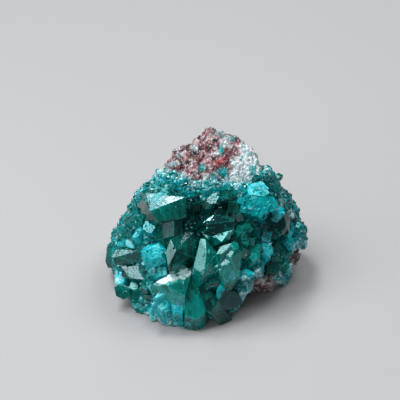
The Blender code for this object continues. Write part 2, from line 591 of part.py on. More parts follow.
def add_blocks(collection, rng):
    """The large crystals. Returns the middle and the width of each, in space."""
    spots = []
    for block in BLOCKS:
        axis = axis_of(block.clock, block.lean)
        count = len(block.corners)
        middle_across = sum(corner[0] for corner in block.corners) / count
        middle_up = sum(corner[1] for corner in block.corners) / count
        base = nearest_rock_out(middle_across, middle_up)
        front = [place(u, v, base + out) for u, v, out in block.corners]
        back = [corner - axis * block.depth for corner in front]
        add_helper(collection, hull_shape(front + back))
        middle = sum(front, Vector()) / count
        add_steps(collection, rng, front, middle, axis, block.depth)
        spots.append((middle, 1.4 * max((corner - middle).length for corner in front)))
    return spots


def add_set_crystals(collection, rng):
    """Each crystal set by hand, and its lesser companions set back beside it in the same direction."""
    spots = []
    for crystal in CRYSTALS:
        tip = tip_of(crystal)
        axis = axis_of(crystal.clock, crystal.lean)
        depth = crystal.length + EMBED
        add_crystal(collection, rng, tip, axis, crystal.width, depth, crystal.roll)
        spots.append((tip, crystal.width))
        turn = pointing(axis, crystal.roll)
        for k in range(crystal.steps):
            angle = rng.uniform(0.0, 2.0 * math.pi)
            aside = crystal.width * rng.uniform(*COMPANION_ASIDE)
            back = crystal.width * rng.uniform(*COMPANION_BACK)
            offset = turn @ Vector((aside * math.cos(angle), aside * math.sin(angle), -back))
            width = crystal.width * rng.uniform(*COMPANION_WIDTHS)
            add_crystal(collection, rng, tip + offset, axis, width, depth - back, crystal.roll)
    return spots


def add_fill_crystals(collection, rng, spots):
    """Small crystals on the crust where no larger one stands."""
    made = 0
    for _ in range(FILL_TRIES):
        if made == FILL_COUNT:
            break
        azimuth = rng.uniform(WRAP_LEFT, WRAP_RIGHT)
        elevation = rng.uniform(*FILL_ELEVATIONS)
        direction = bearing(azimuth, elevation)
        point = CORE + direction * rock_radius(direction)
        if crust_inside(point) < 0.9 or point.z < 2.2:
            continue
        side = between(abs(azimuth), SIDE_FROM, SIDE_TO)
        width = rng.uniform(*FILL_WIDTHS) * (1.0 - SIDE_NARROWER * side)
        proud = CRUST_THICK + width * rng.uniform(*FILL_PROUD)
        tilt = Vector([rng.gauss(0.0, FILL_TILT) for _ in range(3)])
        axis = (direction + tilt).normalized()
        tip = point + axis * proud
        if any((tip - other).length < 0.5 * (width + other_width) for other, other_width in spots):
            continue
        spots.append((tip, width))
        add_crystal(collection, rng, tip, axis, width, proud + FILL_ROOT, rng.uniform(0, 120))
        made += 1


def largest_body(bm):
    """Deletes every separate body but the largest one."""
    bm.verts.ensure_lookup_table()
    seen = set()
    bodies = []
    for vert in bm.verts:
        if vert in seen:
            continue
        body = []
        waiting = [vert]
        seen.add(vert)
        while waiting:
            here = waiting.pop()
            body.append(here)
            for edge in here.link_edges:
                other = edge.other_vert(here)
                if other not in seen:
                    seen.add(other)
                    waiting.append(other)
        bodies.append(body)
    bodies.sort(key=len)
    for body in bodies[:-1]:
        bmesh.ops.delete(bm, geom=body, context="VERTS")


def inflated(rock_bm):
    """A copy of the rock, larger by the gap, along the lines out of the core."""
    bm = rock_bm.copy()
    for vert in bm.verts:
        vert.co += (vert.co - CORE).normalized() * GAP
    return bm


def boolean(obj, operation, other=None, collection=None):
    modifier = obj.modifiers.new(operation.lower(), "BOOLEAN")
    modifier.operation = operation
    modifier.solver = "EXACT"
    if collection is not None:
        modifier.operand_type = "COLLECTION"
        modifier.collection = collection
    else:
        modifier.object = other


def material(name, colour, roughness, transmission=0.0):
    made = bpy.data.materials.new(name)
    made.use_nodes = True
    shader = made.node_tree.nodes["Principled BSDF"]
    shader.inputs["Base Color"].default_value = (*colour, 1.0)
    shader.inputs["Roughness"].default_value = roughness
    shader.inputs["Metallic"].default_value = 0.0
    shader.inputs["IOR"].default_value = 1.66
    shader.inputs["Transmission Weight"].default_value = transmission
    return made


def covered(point):
    """Whether a place on the rock lies well under the crust, or under the level it is trimmed to."""
    return crust_inside(point) > 1.2 or point.z < -1.0


def build_rock():
    whole = simpler(star_shape(rock_radius, ROCK_DIVISIONS), ROCK_FACES)
    whole = simpler(whole, ROCK_FACES - COVERED_FEWER, covered)
    larger = inflated(whole)
    cut_flat(whole, 0.0)
    bmesh.ops.translate(whole, vec=CENTRING, verts=whole.verts)
    rock = add_object("matrix", whole)
    rock.data.materials.append(material("host_rock", (0.16, 0.075, 0.08), 0.85))
    return rock, add_object("rock_cutter", larger, hidden=True)


def build_crystals(rock_cutter):
    rng = random.Random(SEED)
    shape = star_shape(crust_radius, CRUST_DIVISIONS)
    shape = simpler(shape, CRUST_KEEP * len(shape.faces))
    collection = bpy.data.collections.new("crystal_helpers")
    bpy.context.scene.collection.children.link(collection)
    spots = add_blocks(collection, rng) + add_set_crystals(collection, rng)
    add_fill_crystals(collection, rng, spots)
    crust = add_object("crust_helper", shape)
    boolean(crust, "UNION", collection=collection)
    boolean(crust, "DIFFERENCE", other=rock_cutter)
    bm = bmesh.new()
    bm.from_mesh(evaluated_mesh(crust))
    bpy.data.objects.remove(crust)
    bmesh.ops.scale(bm, vec=(1 / MM, 1 / MM, 1 / MM), verts=bm.verts)
    cut_flat(bm, 0.0)
    largest_body(bm)
    bmesh.ops.translate(bm, vec=CENTRING, verts=bm.verts)
    crystals = add_object("dioptase_crystals", bm)
    crystals.data.materials.append(material("dioptase", (0.0, 0.17, 0.15), 0.06, 0.7))
    for helper in list(collection.objects):
        bpy.data.objects.remove(helper)
    return crystals


def main():
    for obj in list(bpy.data.objects):
        bpy.data.objects.remove(obj)
    rock, rock_cutter = build_rock()
    build_crystals(rock_cutter)


main()
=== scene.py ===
"""Looks of a dioptase specimen on its host rock.

The shapes repeat part.py's at a finer grain: lengths in the lists are millimetres, and a place on the front
is (across, up) on the picture plane, the plane that faces a viewer who looks down by VIEW_TILT, with
"out" towards that viewer. Meshes are scaled to metres and centred when they are finished.
"""

import json
import math
import random
from collections import namedtuple

import bmesh
import bpy
from mathutils import Matrix, Vector, noise
from mathutils.bvhtree import BVHTree

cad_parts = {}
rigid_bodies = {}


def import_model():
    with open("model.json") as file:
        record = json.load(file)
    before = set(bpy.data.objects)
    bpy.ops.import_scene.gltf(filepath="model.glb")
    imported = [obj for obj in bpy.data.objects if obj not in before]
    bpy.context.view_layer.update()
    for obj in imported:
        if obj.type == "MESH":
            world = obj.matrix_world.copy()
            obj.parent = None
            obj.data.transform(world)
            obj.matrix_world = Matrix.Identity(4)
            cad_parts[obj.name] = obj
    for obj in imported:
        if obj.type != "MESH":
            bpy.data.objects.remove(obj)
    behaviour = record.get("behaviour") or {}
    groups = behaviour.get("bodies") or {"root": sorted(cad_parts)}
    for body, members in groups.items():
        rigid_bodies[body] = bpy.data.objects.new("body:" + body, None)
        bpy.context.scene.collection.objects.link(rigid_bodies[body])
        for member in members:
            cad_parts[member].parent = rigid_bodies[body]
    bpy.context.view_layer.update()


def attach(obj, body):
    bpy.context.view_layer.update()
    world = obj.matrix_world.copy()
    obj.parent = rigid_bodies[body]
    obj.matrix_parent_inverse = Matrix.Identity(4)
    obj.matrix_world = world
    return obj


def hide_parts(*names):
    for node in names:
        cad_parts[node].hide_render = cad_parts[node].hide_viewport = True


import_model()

MM = 0.001

# The object's shape, as in part.py
VIEW_TILT = 35.0
FOOT = Vector((0.0, -18.0, 0.0))
CORE = Vector((0.0, 2.0, 13.0))
CENTRING = Vector((-0.24, -1.2, 0.0))
CRUST_THICK = 1.7
CRUST_SUNK = 1.6
EMBED = 3.0
SEED = 41

# Growth steps beside the crystals wider than STEP_SPAN from their middle: how many each has, their share of
# the crystal's size, how far out towards a corner they stand and how far back
STEPS = 1
STEP_SPAN = 2.4
STEP_SIZES = (0.34, 0.6)
STEP_PLACES = (0.5, 0.85)
STEP_SETBACKS = (0.1, 0.35)
# Lesser companions of a crystal, as shares of its width: how far aside, how far back, and how wide
COMPANION_ASIDE = (0.32, 0.5)
COMPANION_BACK = (0.18, 0.45)
COMPANION_WIDTHS = (0.45, 0.7)
# How unevenly the prism's faces and the end faces have grown
PRISM_UNEVEN = (0.72, 1.12)
END_UNEVEN = 0.1

# Dioptase's own angle: the rhombohedron's faces lean 51 degrees from square to the prism
RHOMB_SLOPE = math.tan(math.radians(51.0))

RIGHT = Vector((1.0, 0.0, 0.0))
UP = Vector((0.0, math.sin(math.radians(VIEW_TILT)), math.cos(math.radians(VIEW_TILT))))
OUT = Vector((0.0, -math.cos(math.radians(VIEW_TILT)), math.sin(math.radians(VIEW_TILT))))

# Broken faces of the rock: azimuth from the front towards +X, elevation, distance from the core
BROKEN_FACES = (
    (0, 23, 9.8),
    (-5, -20, 18.6),
    (-44, 12, 14.4),
    (38, 14, 12.4),
    (38, -28, 16.2),
    (-80, 26, 15.8),
    (-104, 30, 14.4),
    (82, 24, 17.2),
    (-70, 50, 14.4),
    (66, 46, 19.6),
    (2, 45, 13.2),
    (-24, 81, 24.6),
    (180, 22, 15.0),
    (176, 58, 25.4),
    (124, 28, 17.2),
    (-138, 24, 16.0),
    (0, -90, 26.0),
    (90, -30, 20.8),
    (-90, -30, 20.0),
    (180, -30, 19.0),
)
EDGE_SHARPNESS = 18

# Knobs (+) and pits (-) of the rock: across, up, radius, height
ROCK_LUMPS = (
    (-0.6, 43.5, 2.3, 1.6),
    (-4.0, 42.4, 2.6, 0.6),
    (7.4, 41.0, 3.0, 0.6),
    (-6.0, 38.0, 3.2, 0.9),
    (4.5, 38.6, 3.0, 0.8),
    (9.5, 36.4, 3.4, 1.2),
    (1.0, 36.2, 2.2, -0.9),
    (-3.2, 34.2, 2.6, 0.9),
    (5.2, 34.6, 1.6, -0.8),
    (-1.2, 25.8, 4.6, -1.6),
    (12.6, 10.6, 3.0, 2.1),
    (20.2, 15.6, 2.8, 1.3),
    (-3.0, 2.0, 2.6, 2.6),
    (-9.8, 35.4, 3.0, 0.9),
)

# A knob or pit falls off by the first of these, and ends at the second, in its own radii squared
LUMP_FALL = 1.5
LUMP_END = 4.0
# The front fades out between these distances behind the core
FRONT_FADE = (3.0, 8.0)

# Layers of noise: waves per millimetre, height in millimetres, and where in the noise each is read, if not
# at its beginning
RELIEF = ((0.16, 0.75), (0.33, 0.55, (7, 3, 1)), (0.8, 0.22))
LEDGE_WAVES = 0.24
LEDGE_HEIGHT = 0.40
LEDGE_STEEPNESS = 6.0
GRAIN_WAVES = ((1.5, 0.45), (3.6, 0.10))
CRUST_EDGE = ((0.45, 0.9, (4, 4, 4)), (1.1, 0.5))
CRUST_BUMPS = ((0.7, 0.35, (1, 5, 8)),)
FRONT_EDGE = ((0.3, 3.0),)
RIM_EDGE = ((0.3, 2.2, (8, 8, 1)),)
PATCH_ACROSS = ((0.5, 1.1), (1.3, 0.6))
PATCH_UP = ((0.5, 1.1, (5, 9, 0)), (1.3, 0.6, (2, 4, 0)))
ISLANDS = ((0.14, 1.0, (4, 7, 3)), (0.5, 0.35))
DRUSE_WANDER = ((0.11, 1.0, (1, 1, 9)), (0.35, 0.5))

# The rock's fine grain in millimetres: broken cells and finer ones, cracks, swells and pits
CELL_HEIGHT = 1.05
CELL_SUNK = 0.45
FINE_CELL_HEIGHT = 0.50
FINE_CELL_LIMIT = 0.6
CRACK_DEPTH = 0.6
CRACK_WIDTH = 0.05
SWELL_HEIGHT = 1.1
SWELL_MIDDLE = 0.22
PIT_DEPTH = 0.9
PITS_FROM = 0.25
# The grain fades out between these distances inside the crust's edge, and the chalky patches stand proud
GRAIN_FADE = (-0.2, 0.8)
CHALK_PROUD = 0.35
# The bed of the crust, in millimetres: its cells, how far they are sunk, and its ripples
BED_CELL_HEIGHT = 0.30
BED_CELL_SUNK = 0.1
BED_RIPPLE = 0.12

# Where the rock's surface is looked for, out from the picture plane: from, to and step
SEARCH_FROM = 26.0
SEARCH_TO = -34.0
SEARCH_STEP = 0.5
# Past the rock's edge, the search moves in towards the front's middle height by this share at a time
SEARCH_INWARD = 0.04
MIDDLE_UP = 20.0

# Top edge of the crust on the picture plane: across, up
CRUST_RIM = ((-30, 33.0), (-10.5, 34.4), (-6.2, 33.6), (-3.0, 31.6), (0.6, 31.8), (5.0, 31.9), (8.4, 31.2),
             (11.6, 34.2), (14.0, 36.4), (30, 37.0))
# Bare patches of rock low on the front: across, up, radius
BARE_PATCHES = ((12.6, 10.4, 3.1), (9.6, 8.2, 2.0), (20.4, 15.6, 3.0), (-3.4, 0.4, 1.5))
# The crust wraps round the sides to these azimuths
WRAP_LEFT = -122.0
WRAP_RIGHT = 118.0
WRAP_MM_PER_DEGREE = 0.26
# The crust ends this far above the surface it stands on, and thins out over this far either side of its edge
CRUST_FOOT = 0.6
EDGE_THINNING = 0.35

Block = namedtuple("Block", "look clock lean depth corners")
Crystal = namedtuple("Crystal", "across up clock lean width length roll steps")


def facet(outline, right, up, out):
    """The corners of a flat face given by its outline on the picture plane.

    Its normal is turned right and up from the viewer by these degrees, and its middle stands this far out
    from the rock. Each corner comes back as (across, up, out).
    """
    middle_across = sum(corner[0] for corner in outline) / len(outline)
    middle_up = sum(corner[1] for corner in outline) / len(outline)
    fall_right = math.tan(math.radians(right))
    fall_up = math.tan(math.radians(up))
    return [(u, v, out - fall_right * (u - middle_across) - fall_up * (v - middle_up)) for u, v in outline]


# The large crystals, each from the corners of its faces as (across, up, out from the rock), which run back
# into the crust along its axis: the clock angle of the axis on the picture plane (0 right, 90 up) and its
# lean away from the viewer, both in degrees, and the depth.
BLOCKS = (
    # Upper left: the big stepped block, its raised blades, and the column under it
    Block("dark", 60, 35, 7.0,
          facet(((-11.6, 26.5), (-9.9, 24.2), (-3.8, 25.1), (-3.9, 29.4), (-7.2, 27.8)), 4, -6, 5.2)
          + [(-12.6, 30.4, 2.6), (-9.6, 32.0, 1.4), (-4.4, 30.6, 2.4), (-12.4, 28.0, 3.8)]),
    Block("pale", 70, 40, 5.0,
          facet(((-9.1, 29.3), (-9.1, 27.5), (-7.3, 27.7)), -14, 24, 5.4)
          + [(-8.0, 29.8, 4.0)]),
    Block("pale", 50, 45, 5.0,
          facet(((-9.3, 31.7), (-9.0, 31.0), (-7.2, 29.0), (-6.7, 29.1), (-6.8, 29.6)), 18, 22, 4.0)),
    Block("pale", 110, 45, 5.0,
          facet(((-12.5, 31.6), (-11.7, 30.1), (-10.5, 30.2), (-11.4, 31.0)), -12, 24, 3.4)),
    Block("dark", 86, 50, 8.0,
          facet(((-6.6, 24.8), (-4.7, 24.8), (-4.9, 21.5), (-6.4, 21.2)), 24, 6, 3.6)
          + facet(((-9.0, 24.8), (-6.7, 24.8), (-6.5, 21.2), (-8.8, 20.6)), -8, 6, 3.9)
          + [(-10.5, 24.6, 2.4), (-10.3, 20.4, 2.6)]),
    Block("frost", 130, 40, 5.0,
          facet(((-13.0, 22.4), (-12.7, 24.2), (-11.0, 24.6), (-10.5, 23.0), (-11.2, 22.0)), -16, 18, 3.4)),
    Block("dark", 150, 50, 5.0,
          facet(((-15.0, 28.0), (-15.2, 26.0), (-13.6, 25.4), (-12.4, 26.6), (-13.2, 28.6)), -20, 10, 2.6)),
    # Under the rim: grey facets round the dark hollow
    Block("dark", 80, 40, 4.0,
          facet(((-2.0, 22.4), (-1.2, 24.8), (0.1, 24.7), (0.2, 22.0), (-0.9, 21.3)), -10, 8, 2.4)),
    Block("dark", 40, 45, 4.0,
          facet(((2.1, 25.6), (3.0, 27.2), (4.2, 27.4), (4.6, 25.8)), 16, 12, 2.4)
          + [(2.0, 28.6, 1.0), (5.0, 28.0, 1.2)]),
    Block("dark", 100, 50, 4.0,
          facet(((4.8, 26.2), (5.2, 28.6), (7.2, 28.4), (7.6, 26.4)), 6, 16, 2.8)
          + [(6.2, 30.0, 1.2)]),
    Block("green", 60, 50, 4.0, facet(((0.2, 28.4), (1.8, 30.2), (3.2, 29.6), (2.4, 28.0)), -10, 22, 2.2)),
    Block("dark", 100, 50, 4.0, facet(((3.4, 29.0), (4.4, 31.2), (6.4, 31.0), (6.0, 29.2)), 10, 20, 2.4)),
    # The level block with a striped top
    Block("dark", 20, 35, 6.0,
          facet(((0.4, 23.7), (6.4, 24.4), (6.2, 22.6), (2.6, 21.4), (0.7, 22.4)), 4, -14, 4.4)
          + facet(((0.3, 24.6), (2.1, 25.8), (5.4, 25.4), (6.4, 24.4), (0.5, 23.7)), 0, 30, 4.0)),
    # Upper right: the bright block, the dark one under it, and their neighbours
    Block("teal", 100, 16, 7.0,
          facet(((7.6, 26.4), (12.1, 25.0), (14.2, 28.0), (12.6, 30.4), (9.4, 30.6),
                 (7.7, 28.6)), 6, 20, 5.0)
          + [(10.8, 24.9, 4.6), (13.2, 26.0, 5.0)]),
    Block("frost", 70, 50, 5.0,
          facet(((9.4, 30.0), (9.2, 32.0), (12.0, 33.0), (13.8, 31.4), (13.0, 29.6)), 12, 26, 3.4)),
    Block("dark", 60, 30, 6.0,
          facet(((12.3, 24.2), (14.0, 26.6), (16.9, 26.9), (17.6, 23.4), (16.4, 21.2),
                 (13.2, 20.8)), 12, 4, 4.4)
          + [(18.6, 25.0, 1.6), (18.4, 21.8, 1.8)]),
    Block("cyan", 20, 60, 5.0,
          facet(((17.2, 24.6), (18.8, 24.8), (19.6, 22.4), (18.6, 20.2), (17.4, 21.4)), 34, 6, 2.6)),
    Block("cyan", 60, 50, 4.0, facet(((14.6, 25.6), (14.9, 27.2), (16.9, 27.0), (16.8, 25.6)), 4, 22, 4.6)),
    Block("green", 60, 55, 4.0,
          facet(((6.4, 22.4), (7.2, 23.6), (9.0, 23.4), (8.8, 22.2), (7.4, 21.6)), 6, 6, 3.0)),
    Block("green", 90, 40, 4.0, facet(((7.9, 20.4), (7.9, 22.2), (9.1, 22.1), (9.1, 20.3)), 10, 4, 3.4)),
    Block("pale", 80, 40, 3.0, facet(((8.1, 19.7), (9.4, 20.1), (9.4, 19.3)), 8, 26, 4.0)),
    # Centre: the pale pointed faces and the tall prisms that carry them
    Block("dark", 105, 42, 8.0,
          facet(((-7.3, 20.4), (-6.1, 18.0), (-7.8, 14.6), (-8.3, 17.7)), -26, 14, 5.0)
          + [(-4.2, 21.9, 3.2), (-2.2, 22.0, 2.6), (-1.4, 20.3, 2.8), (-2.6, 16.6, 3.6),
             (-5.9, 21.4, 3.6)]),
    Block("dark", 90, 40, 6.0,
          facet(((-6.9, 14.6), (-6.5, 16.2), (-5.2, 17.4), (-4.4, 16.4), (-5.2, 15.2)), 12, 22, 5.6)
          + [(-3.6, 14.2, 4.6), (-7.2, 13.4, 4.6)]),
    Block("green", 84, 38, 9.0,
          facet(((-0.8, 20.7), (0.4, 17.8), (0.0, 14.2), (-0.8, 13.4), (-2.4, 14.7)), -24, 14, 5.8)
          + [(0.3, 20.5, 5.0), (2.7, 17.6, 4.2), (2.8, 13.6, 3.8), (1.0, 12.8, 4.4)]),
    Block("pale", 30, 40, 5.0,
          facet(((2.0, 21.2), (5.9, 23.0), (3.7, 19.9)), -8, 20, 4.2)
          + [(5.6, 20.6, 3.0)]),
    Block("pale", 100, 40, 5.0, facet(((-0.4, 21.5), (0.3, 22.9), (1.4, 21.1), (0.7, 20.7)), -6, 22, 4.0)),
    Block("dark", 50, 40, 5.0, facet(((6.0, 21.4), (7.6, 21.6), (7.8, 19.4), (5.6, 19.6)), 10, 6, 3.2)),
    Block("green", 68, 44, 9.0,
          facet(((2.4, 17.3), (3.4, 19.0), (5.9, 19.8), (5.2, 18.7), (3.8, 17.4)), -16, 24, 5.0)
          + [(3.0, 14.6, 4.4), (6.6, 18.6, 4.0)]),
    Block("green", 68, 44, 9.0,
          facet(((4.0, 17.4), (5.8, 18.9), (6.7, 18.5), (5.6, 16.6)), -8, 24, 5.5)
          + [(8.1, 17.8, 4.2), (7.4, 12.4, 3.6), (4.6, 12.0, 4.2)]),
    Block("green", 68, 44, 9.0,
          facet(((2.7, 16.2), (4.3, 17.4), (5.4, 16.4), (5.2, 15.2), (3.5, 14.8)), -12, 20, 5.9)
          + [(6.9, 15.6, 5.0), (6.6, 11.8, 4.4), (4.4, 11.2, 4.8), (3.2, 13.0, 5.0)]),
    Block("pale", 60, 44, 5.0, facet(((6.1, 19.3), (6.9, 19.9), (7.4, 19.0), (6.5, 18.6)), 6, 26, 5.2)),
    # The bright upward face and the tall green prism that it closes
    Block("pale", 88, 50, 9.0,
          facet(((-10.5, 11.3), (-7.8, 12.9), (-3.2, 13.9), (-2.7, 13.5), (-4.7, 11.5),
                 (-7.8, 10.6)), -6, 34, 5.4)
          + facet(((-7.2, 10.7), (-4.7, 11.5), (-4.2, 8.2), (-6.6, 8.0)), -6, -6, 5.6)),
    Block("green", 88, 40, 8.0,
          facet(((-4.6, 11.5), (-2.8, 13.5), (-0.6, 8.6), (0.2, 4.8), (-1.6, 3.2), (-4.2, 4.0)), 8, 4, 4.4)
          + [(0.9, 5.9, 3.4)]),
    Block("cyan", 120, 45, 6.0,
          facet(((-11.1, 7.4), (-9.8, 9.4), (-7.4, 10.6), (-7.0, 10.2), (-8.4, 8.8)), -10, 28, 4.6)),
    Block("frost", 100, 40, 6.0,
          facet(((-10.9, 6.5), (-9.6, 8.1), (-8.0, 8.9), (-7.9, 5.8), (-9.2, 5.2)), -4, 12, 4.8)
          + [(-6.4, 6.6, 3.6)]),
    Block("frost", 95, 35, 5.0,
          facet(((-7.0, 7.4), (-5.0, 8.0), (-4.0, 6.4), (-4.8, 4.4), (-6.8, 4.6)), 4, 10, 3.8)),
    # Lower right
    Block("dark", 130, 40, 7.0,
          facet(((-1.6, 10.5), (0.2, 10.6), (2.5, 8.0), (2.7, 6.4), (1.2, 4.6), (0.4, 5.0)), 14, -10, 4.6)),
    Block("dark", 60, 44, 6.0,
          facet(((-0.4, 12.3), (1.0, 13.1), (3.1, 13.0), (3.1, 11.8), (1.8, 11.2), (0.9, 10.4)), 6, 20, 5.0)
          + [(3.0, 10.2, 4.0)]),
    Block("frost", 80, 45, 5.0,
          facet(((2.9, 9.7), (3.3, 11.1), (4.7, 11.3), (4.4, 9.8), (3.2, 9.0)), 0, 20, 4.4)),
    Block("dark", 300, 50, 6.0,
          facet(((2.6, 7.8), (4.4, 9.4), (6.6, 9.2), (8.2, 7.2), (6.6, 5.4), (3.4, 4.8)), 16, -16, 3.4)),
    Block("dark", 320, 50, 5.0,
          facet(((6.6, 9.6), (8.4, 10.6), (9.0, 8.2), (8.4, 6.6), (6.8, 6.8)), 20, -6, 2.6)),
    # Right-hand mass
    Block("teal", 80, 40, 5.0,
          facet(((12.3, 20.3), (12.4, 22.8), (13.2, 20.6)), -8, 14, 4.4)
          + [(14.6, 21.6, 3.4), (14.0, 19.4, 3.8)]),
    Block("cyan", 70, 40, 6.0,
          facet(((12.3, 19.8), (14.0, 20.2), (14.8, 18.2), (13.8, 16.8), (12.4, 17.6)), 8, 10, 4.6)),
    Block("pale", 60, 45, 6.0,
          facet(((9.0, 17.6), (9.8, 19.4), (11.8, 19.0), (12.0, 16.6), (10.2, 15.8)), -4, 12, 4.2)),
    Block("teal", 100, 18, 6.0,
          facet(((9.8, 15.6), (11.6, 16.6), (13.0, 15.4), (12.6, 13.4), (10.6, 13.2)), 4, 6, 4.2)),
    Block("frost", 100, 14, 5.0,
          facet(((6.8, 13.4), (9.0, 14.0), (10.6, 13.2), (9.8, 12.2), (7.2, 12.2)), 0, 24, 3.8)),
    Block("dark", 40, 50, 6.0,
          facet(((14.4, 18.6), (16.2, 19.6), (17.6, 17.8), (16.6, 15.6), (14.8, 16.0)), 18, 6, 3.6)),
    Block("dark", 40, 20, 6.0,
          facet(((13.4, 15.6), (15.4, 16.2), (16.8, 14.2), (15.8, 12.8), (13.6, 13.2)), 16, -4, 3.4)),
    Block("teal", 10, 60, 5.0,
          facet(((17.0, 20.0), (19.4, 20.6), (20.4, 18.8), (18.4, 17.8)), 34, 10, 3.0)),
    Block("teal", 30, 30, 5.0,
          facet(((16.2, 14.6), (18.0, 15.6), (18.2, 13.2), (16.8, 11.8)), 32, -6, 3.0)),
    # The vivid chunk on the left and the left-pointing prisms
    Block("cyan", 120, 30, 7.0,
          facet(((-13.7, 17.9), (-12.2, 19.2), (-9.6, 19.8), (-8.2, 18.4), (-8.2, 15.6), (-10.6, 14.6),
                 (-13.0, 15.6)), -6, 8, 4.2)
          + facet(((-12.6, 17.8), (-11.4, 18.8), (-9.6, 18.6), (-9.2, 16.8), (-11.4, 16.2)), -4, 10, 5.0)),
    Block("teal", 110, 35, 6.0,
          facet(((-12.2, 13.6), (-11.0, 14.8), (-8.2, 14.6), (-8.0, 13.0), (-10.4, 12.3)), -2, 20, 4.2)),
    Block("frost", 172, 66, 9.0,
          facet(((-17.4, 19.4), (-16.6, 20.5), (-13.2, 19.5), (-13.3, 18.7), (-15.8, 18.4)), -12, 26, 4.4)
          + [(-19.4, 19.0, 2.2), (-15.4, 21.4, 2.6)]),
    Block("dark", 184, 66, 10.0,
          facet(((-20.0, 16.7), (-19.0, 18.3), (-17.8, 18.8), (-16.4, 18.0), (-17.0, 16.9),
                 (-18.6, 16.3)), -16, 24, 4.8)
          + facet(((-19.8, 16.2), (-16.8, 16.9), (-14.2, 17.9), (-13.8, 15.4), (-16.6, 14.9),
                   (-19.6, 15.1)), -6, -20, 5.2)),
    Block("dark", 184, 66, 10.0,
          facet(((-21.7, 16.2), (-21.4, 18.4), (-19.8, 18.7), (-20.0, 16.6)), -30, 16, 3.2)
          + [(-21.9, 15.2, 2.2), (-21.4, 13.9, 1.6), (-19.9, 13.7, 2.4)]),
    Block("green", 160, 70, 8.0,
          facet(((-21.3, 18.7), (-20.2, 20.0), (-18.4, 20.2), (-18.6, 18.8)), -26, 10, 1.8)),
    Block("frost", 140, 50, 6.0,
          facet(((-17.8, 20.8), (-17.8, 23.0), (-16.2, 24.2), (-14.6, 23.4), (-14.8, 21.0)), -22, 10, 3.2)),
    Block("cyan", 130, 45, 6.0,
          facet(((-15.7, 20.7), (-15.0, 21.8), (-13.7, 23.1), (-13.3, 22.4), (-14.4, 20.7)), -6, 20, 4.2)),
    # Lower left
    Block("dark", 130, 40, 7.0,
          facet(((-17.8, 14.0), (-16.4, 14.5), (-14.0, 14.8), (-12.3, 12.5), (-13.2, 11.6),
                 (-16.2, 11.9)), -10, 20, 4.8)
          + [(-18.0, 12.4, 3.6)]),
    Block("cyan", 190, 55, 7.0,
          facet(((-19.6, 12.2), (-18.6, 13.2), (-17.4, 12.6), (-17.3, 11.0), (-18.2, 10.3),
                 (-19.6, 10.5)), -20, 14, 3.2)),
    Block("green", 200, 50, 7.0,
          facet(((-19.7, 9.9), (-18.0, 10.4), (-16.4, 9.8), (-16.5, 7.9), (-17.6, 7.1),
                 (-19.3, 7.9)), -18, -8, 3.0)),
    Block("pale", 140, 40, 5.0,
          facet(((-16.5, 10.0), (-15.5, 11.4), (-14.8, 10.8), (-14.4, 9.7), (-15.5, 9.3)), -12, 20, 3.8)),
    Block("pale", 120, 40, 5.0,
          facet(((-12.0, 9.9), (-12.0, 11.0), (-11.2, 11.6), (-10.2, 10.4), (-10.4, 9.3),
                 (-11.3, 9.1)), -8, 16, 4.4)),
    Block("green", 215, 50, 7.0,
          facet(((-16.4, 7.2), (-15.5, 8.9), (-14.0, 8.4), (-12.7, 7.0), (-12.6, 4.9), (-13.8, 4.0),
                 (-15.2, 4.6)), -12, -6, 3.2)),
    Block("cyan", 250, 45, 6.0,
          facet(((-12.4, 4.8), (-10.8, 5.6), (-9.4, 4.6), (-9.6, 3.0), (-11.6, 2.8)), -4, -8, 2.6)),
    Block("cyan", 265, 45, 6.0,
          facet(((-8.6, 4.4), (-6.6, 4.6), (-5.8, 3.2), (-7.2, 2.0), (-8.6, 2.6)), 4, -8, 2.6)),
)
# Smaller crystals, given one by one, with their tips' places, axes, widths across the prism, lengths, rolls
# and the number of lesser individuals that share each one's direction
CRYSTALS = (
    Crystal(-13.6, 30.6, 150, 50, 2.6, 3.0, 10, 1),
    Crystal(-14.6, 24.9, 160, 55, 2.6, 3.0, 30, 1),
    Crystal(14.8, 30.4, 40, 54, 2.8, 3.0, 0, 2),
    Crystal(15.8, 28.6, 30, 54, 2.4, 2.6, 20, 1),
    Crystal(10.6, 22.6, 350, 40, 2.6, 2.6, 10, 1),
    Crystal(10.8, 20.6, 20, 40, 2.8, 3.2, 40, 1),
    Crystal(16.2, 21.4, 350, 44, 2.6, 3.0, 15, 1),
    Crystal(8.6, 18.4, 60, 38, 2.4, 4.2, 0, 1),
    Crystal(8.0, 15.6, 30, 34, 2.6, 3.0, 25, 1),
    Crystal(-3.0, 15.8, 60, 40, 2.6, 3.6, 20, 1),
    Crystal(5.2, 10.6, 330, 40, 2.6, 3.0, 30, 1),
    Crystal(-13.4, 10.2, 170, 34, 2.6, 3.0, 12, 2),
    Crystal(-13.0, 8.4, 190, 34, 2.4, 2.8, 40, 2),
    Crystal(-8.6, 12.6, 100, 40, 2.2, 2.8, 30, 0),
    Crystal(-4.4, 4.4, 270, 36, 2.6, 3.0, 0, 1),
    Crystal(-3.0, 1.6, 270, 52, 2.6, 3.4, 20, 1),
    Crystal(18.6, 14.4, 350, 60, 2.4, 2.8, 8, 1),
    Crystal(-11.6, 21.0, 120, 44, 2.4, 3.0, 20, 1),
    Crystal(-9.4, 20.6, 110, 44, 2.2, 3.0, 45, 0),
)
# Small crystals that fill the crust: how many, the tries at placing them, their widths and their elevations
FILL_COUNT = 76
FILL_TRIES = 6000
FILL_WIDTHS = (2.0, 3.4)
FILL_ELEVATIONS = (-40.0, 62.0)
FILL_TILT = 0.35
# How far they stand out of the crust, in their own widths, and how deep they root in it
FILL_PROUD = (0.45, 0.8)
FILL_ROOT = 1.2
# How far inside the crust's edge they keep, how high above the foot, and how close together, in widths
FILL_INSIDE = 0.9
FILL_LOWEST = 2.2
FILL_SPACING = 0.5
# The room that a large crystal keeps free of them, as a share of its reach
BLOCK_ROOM = 1.4
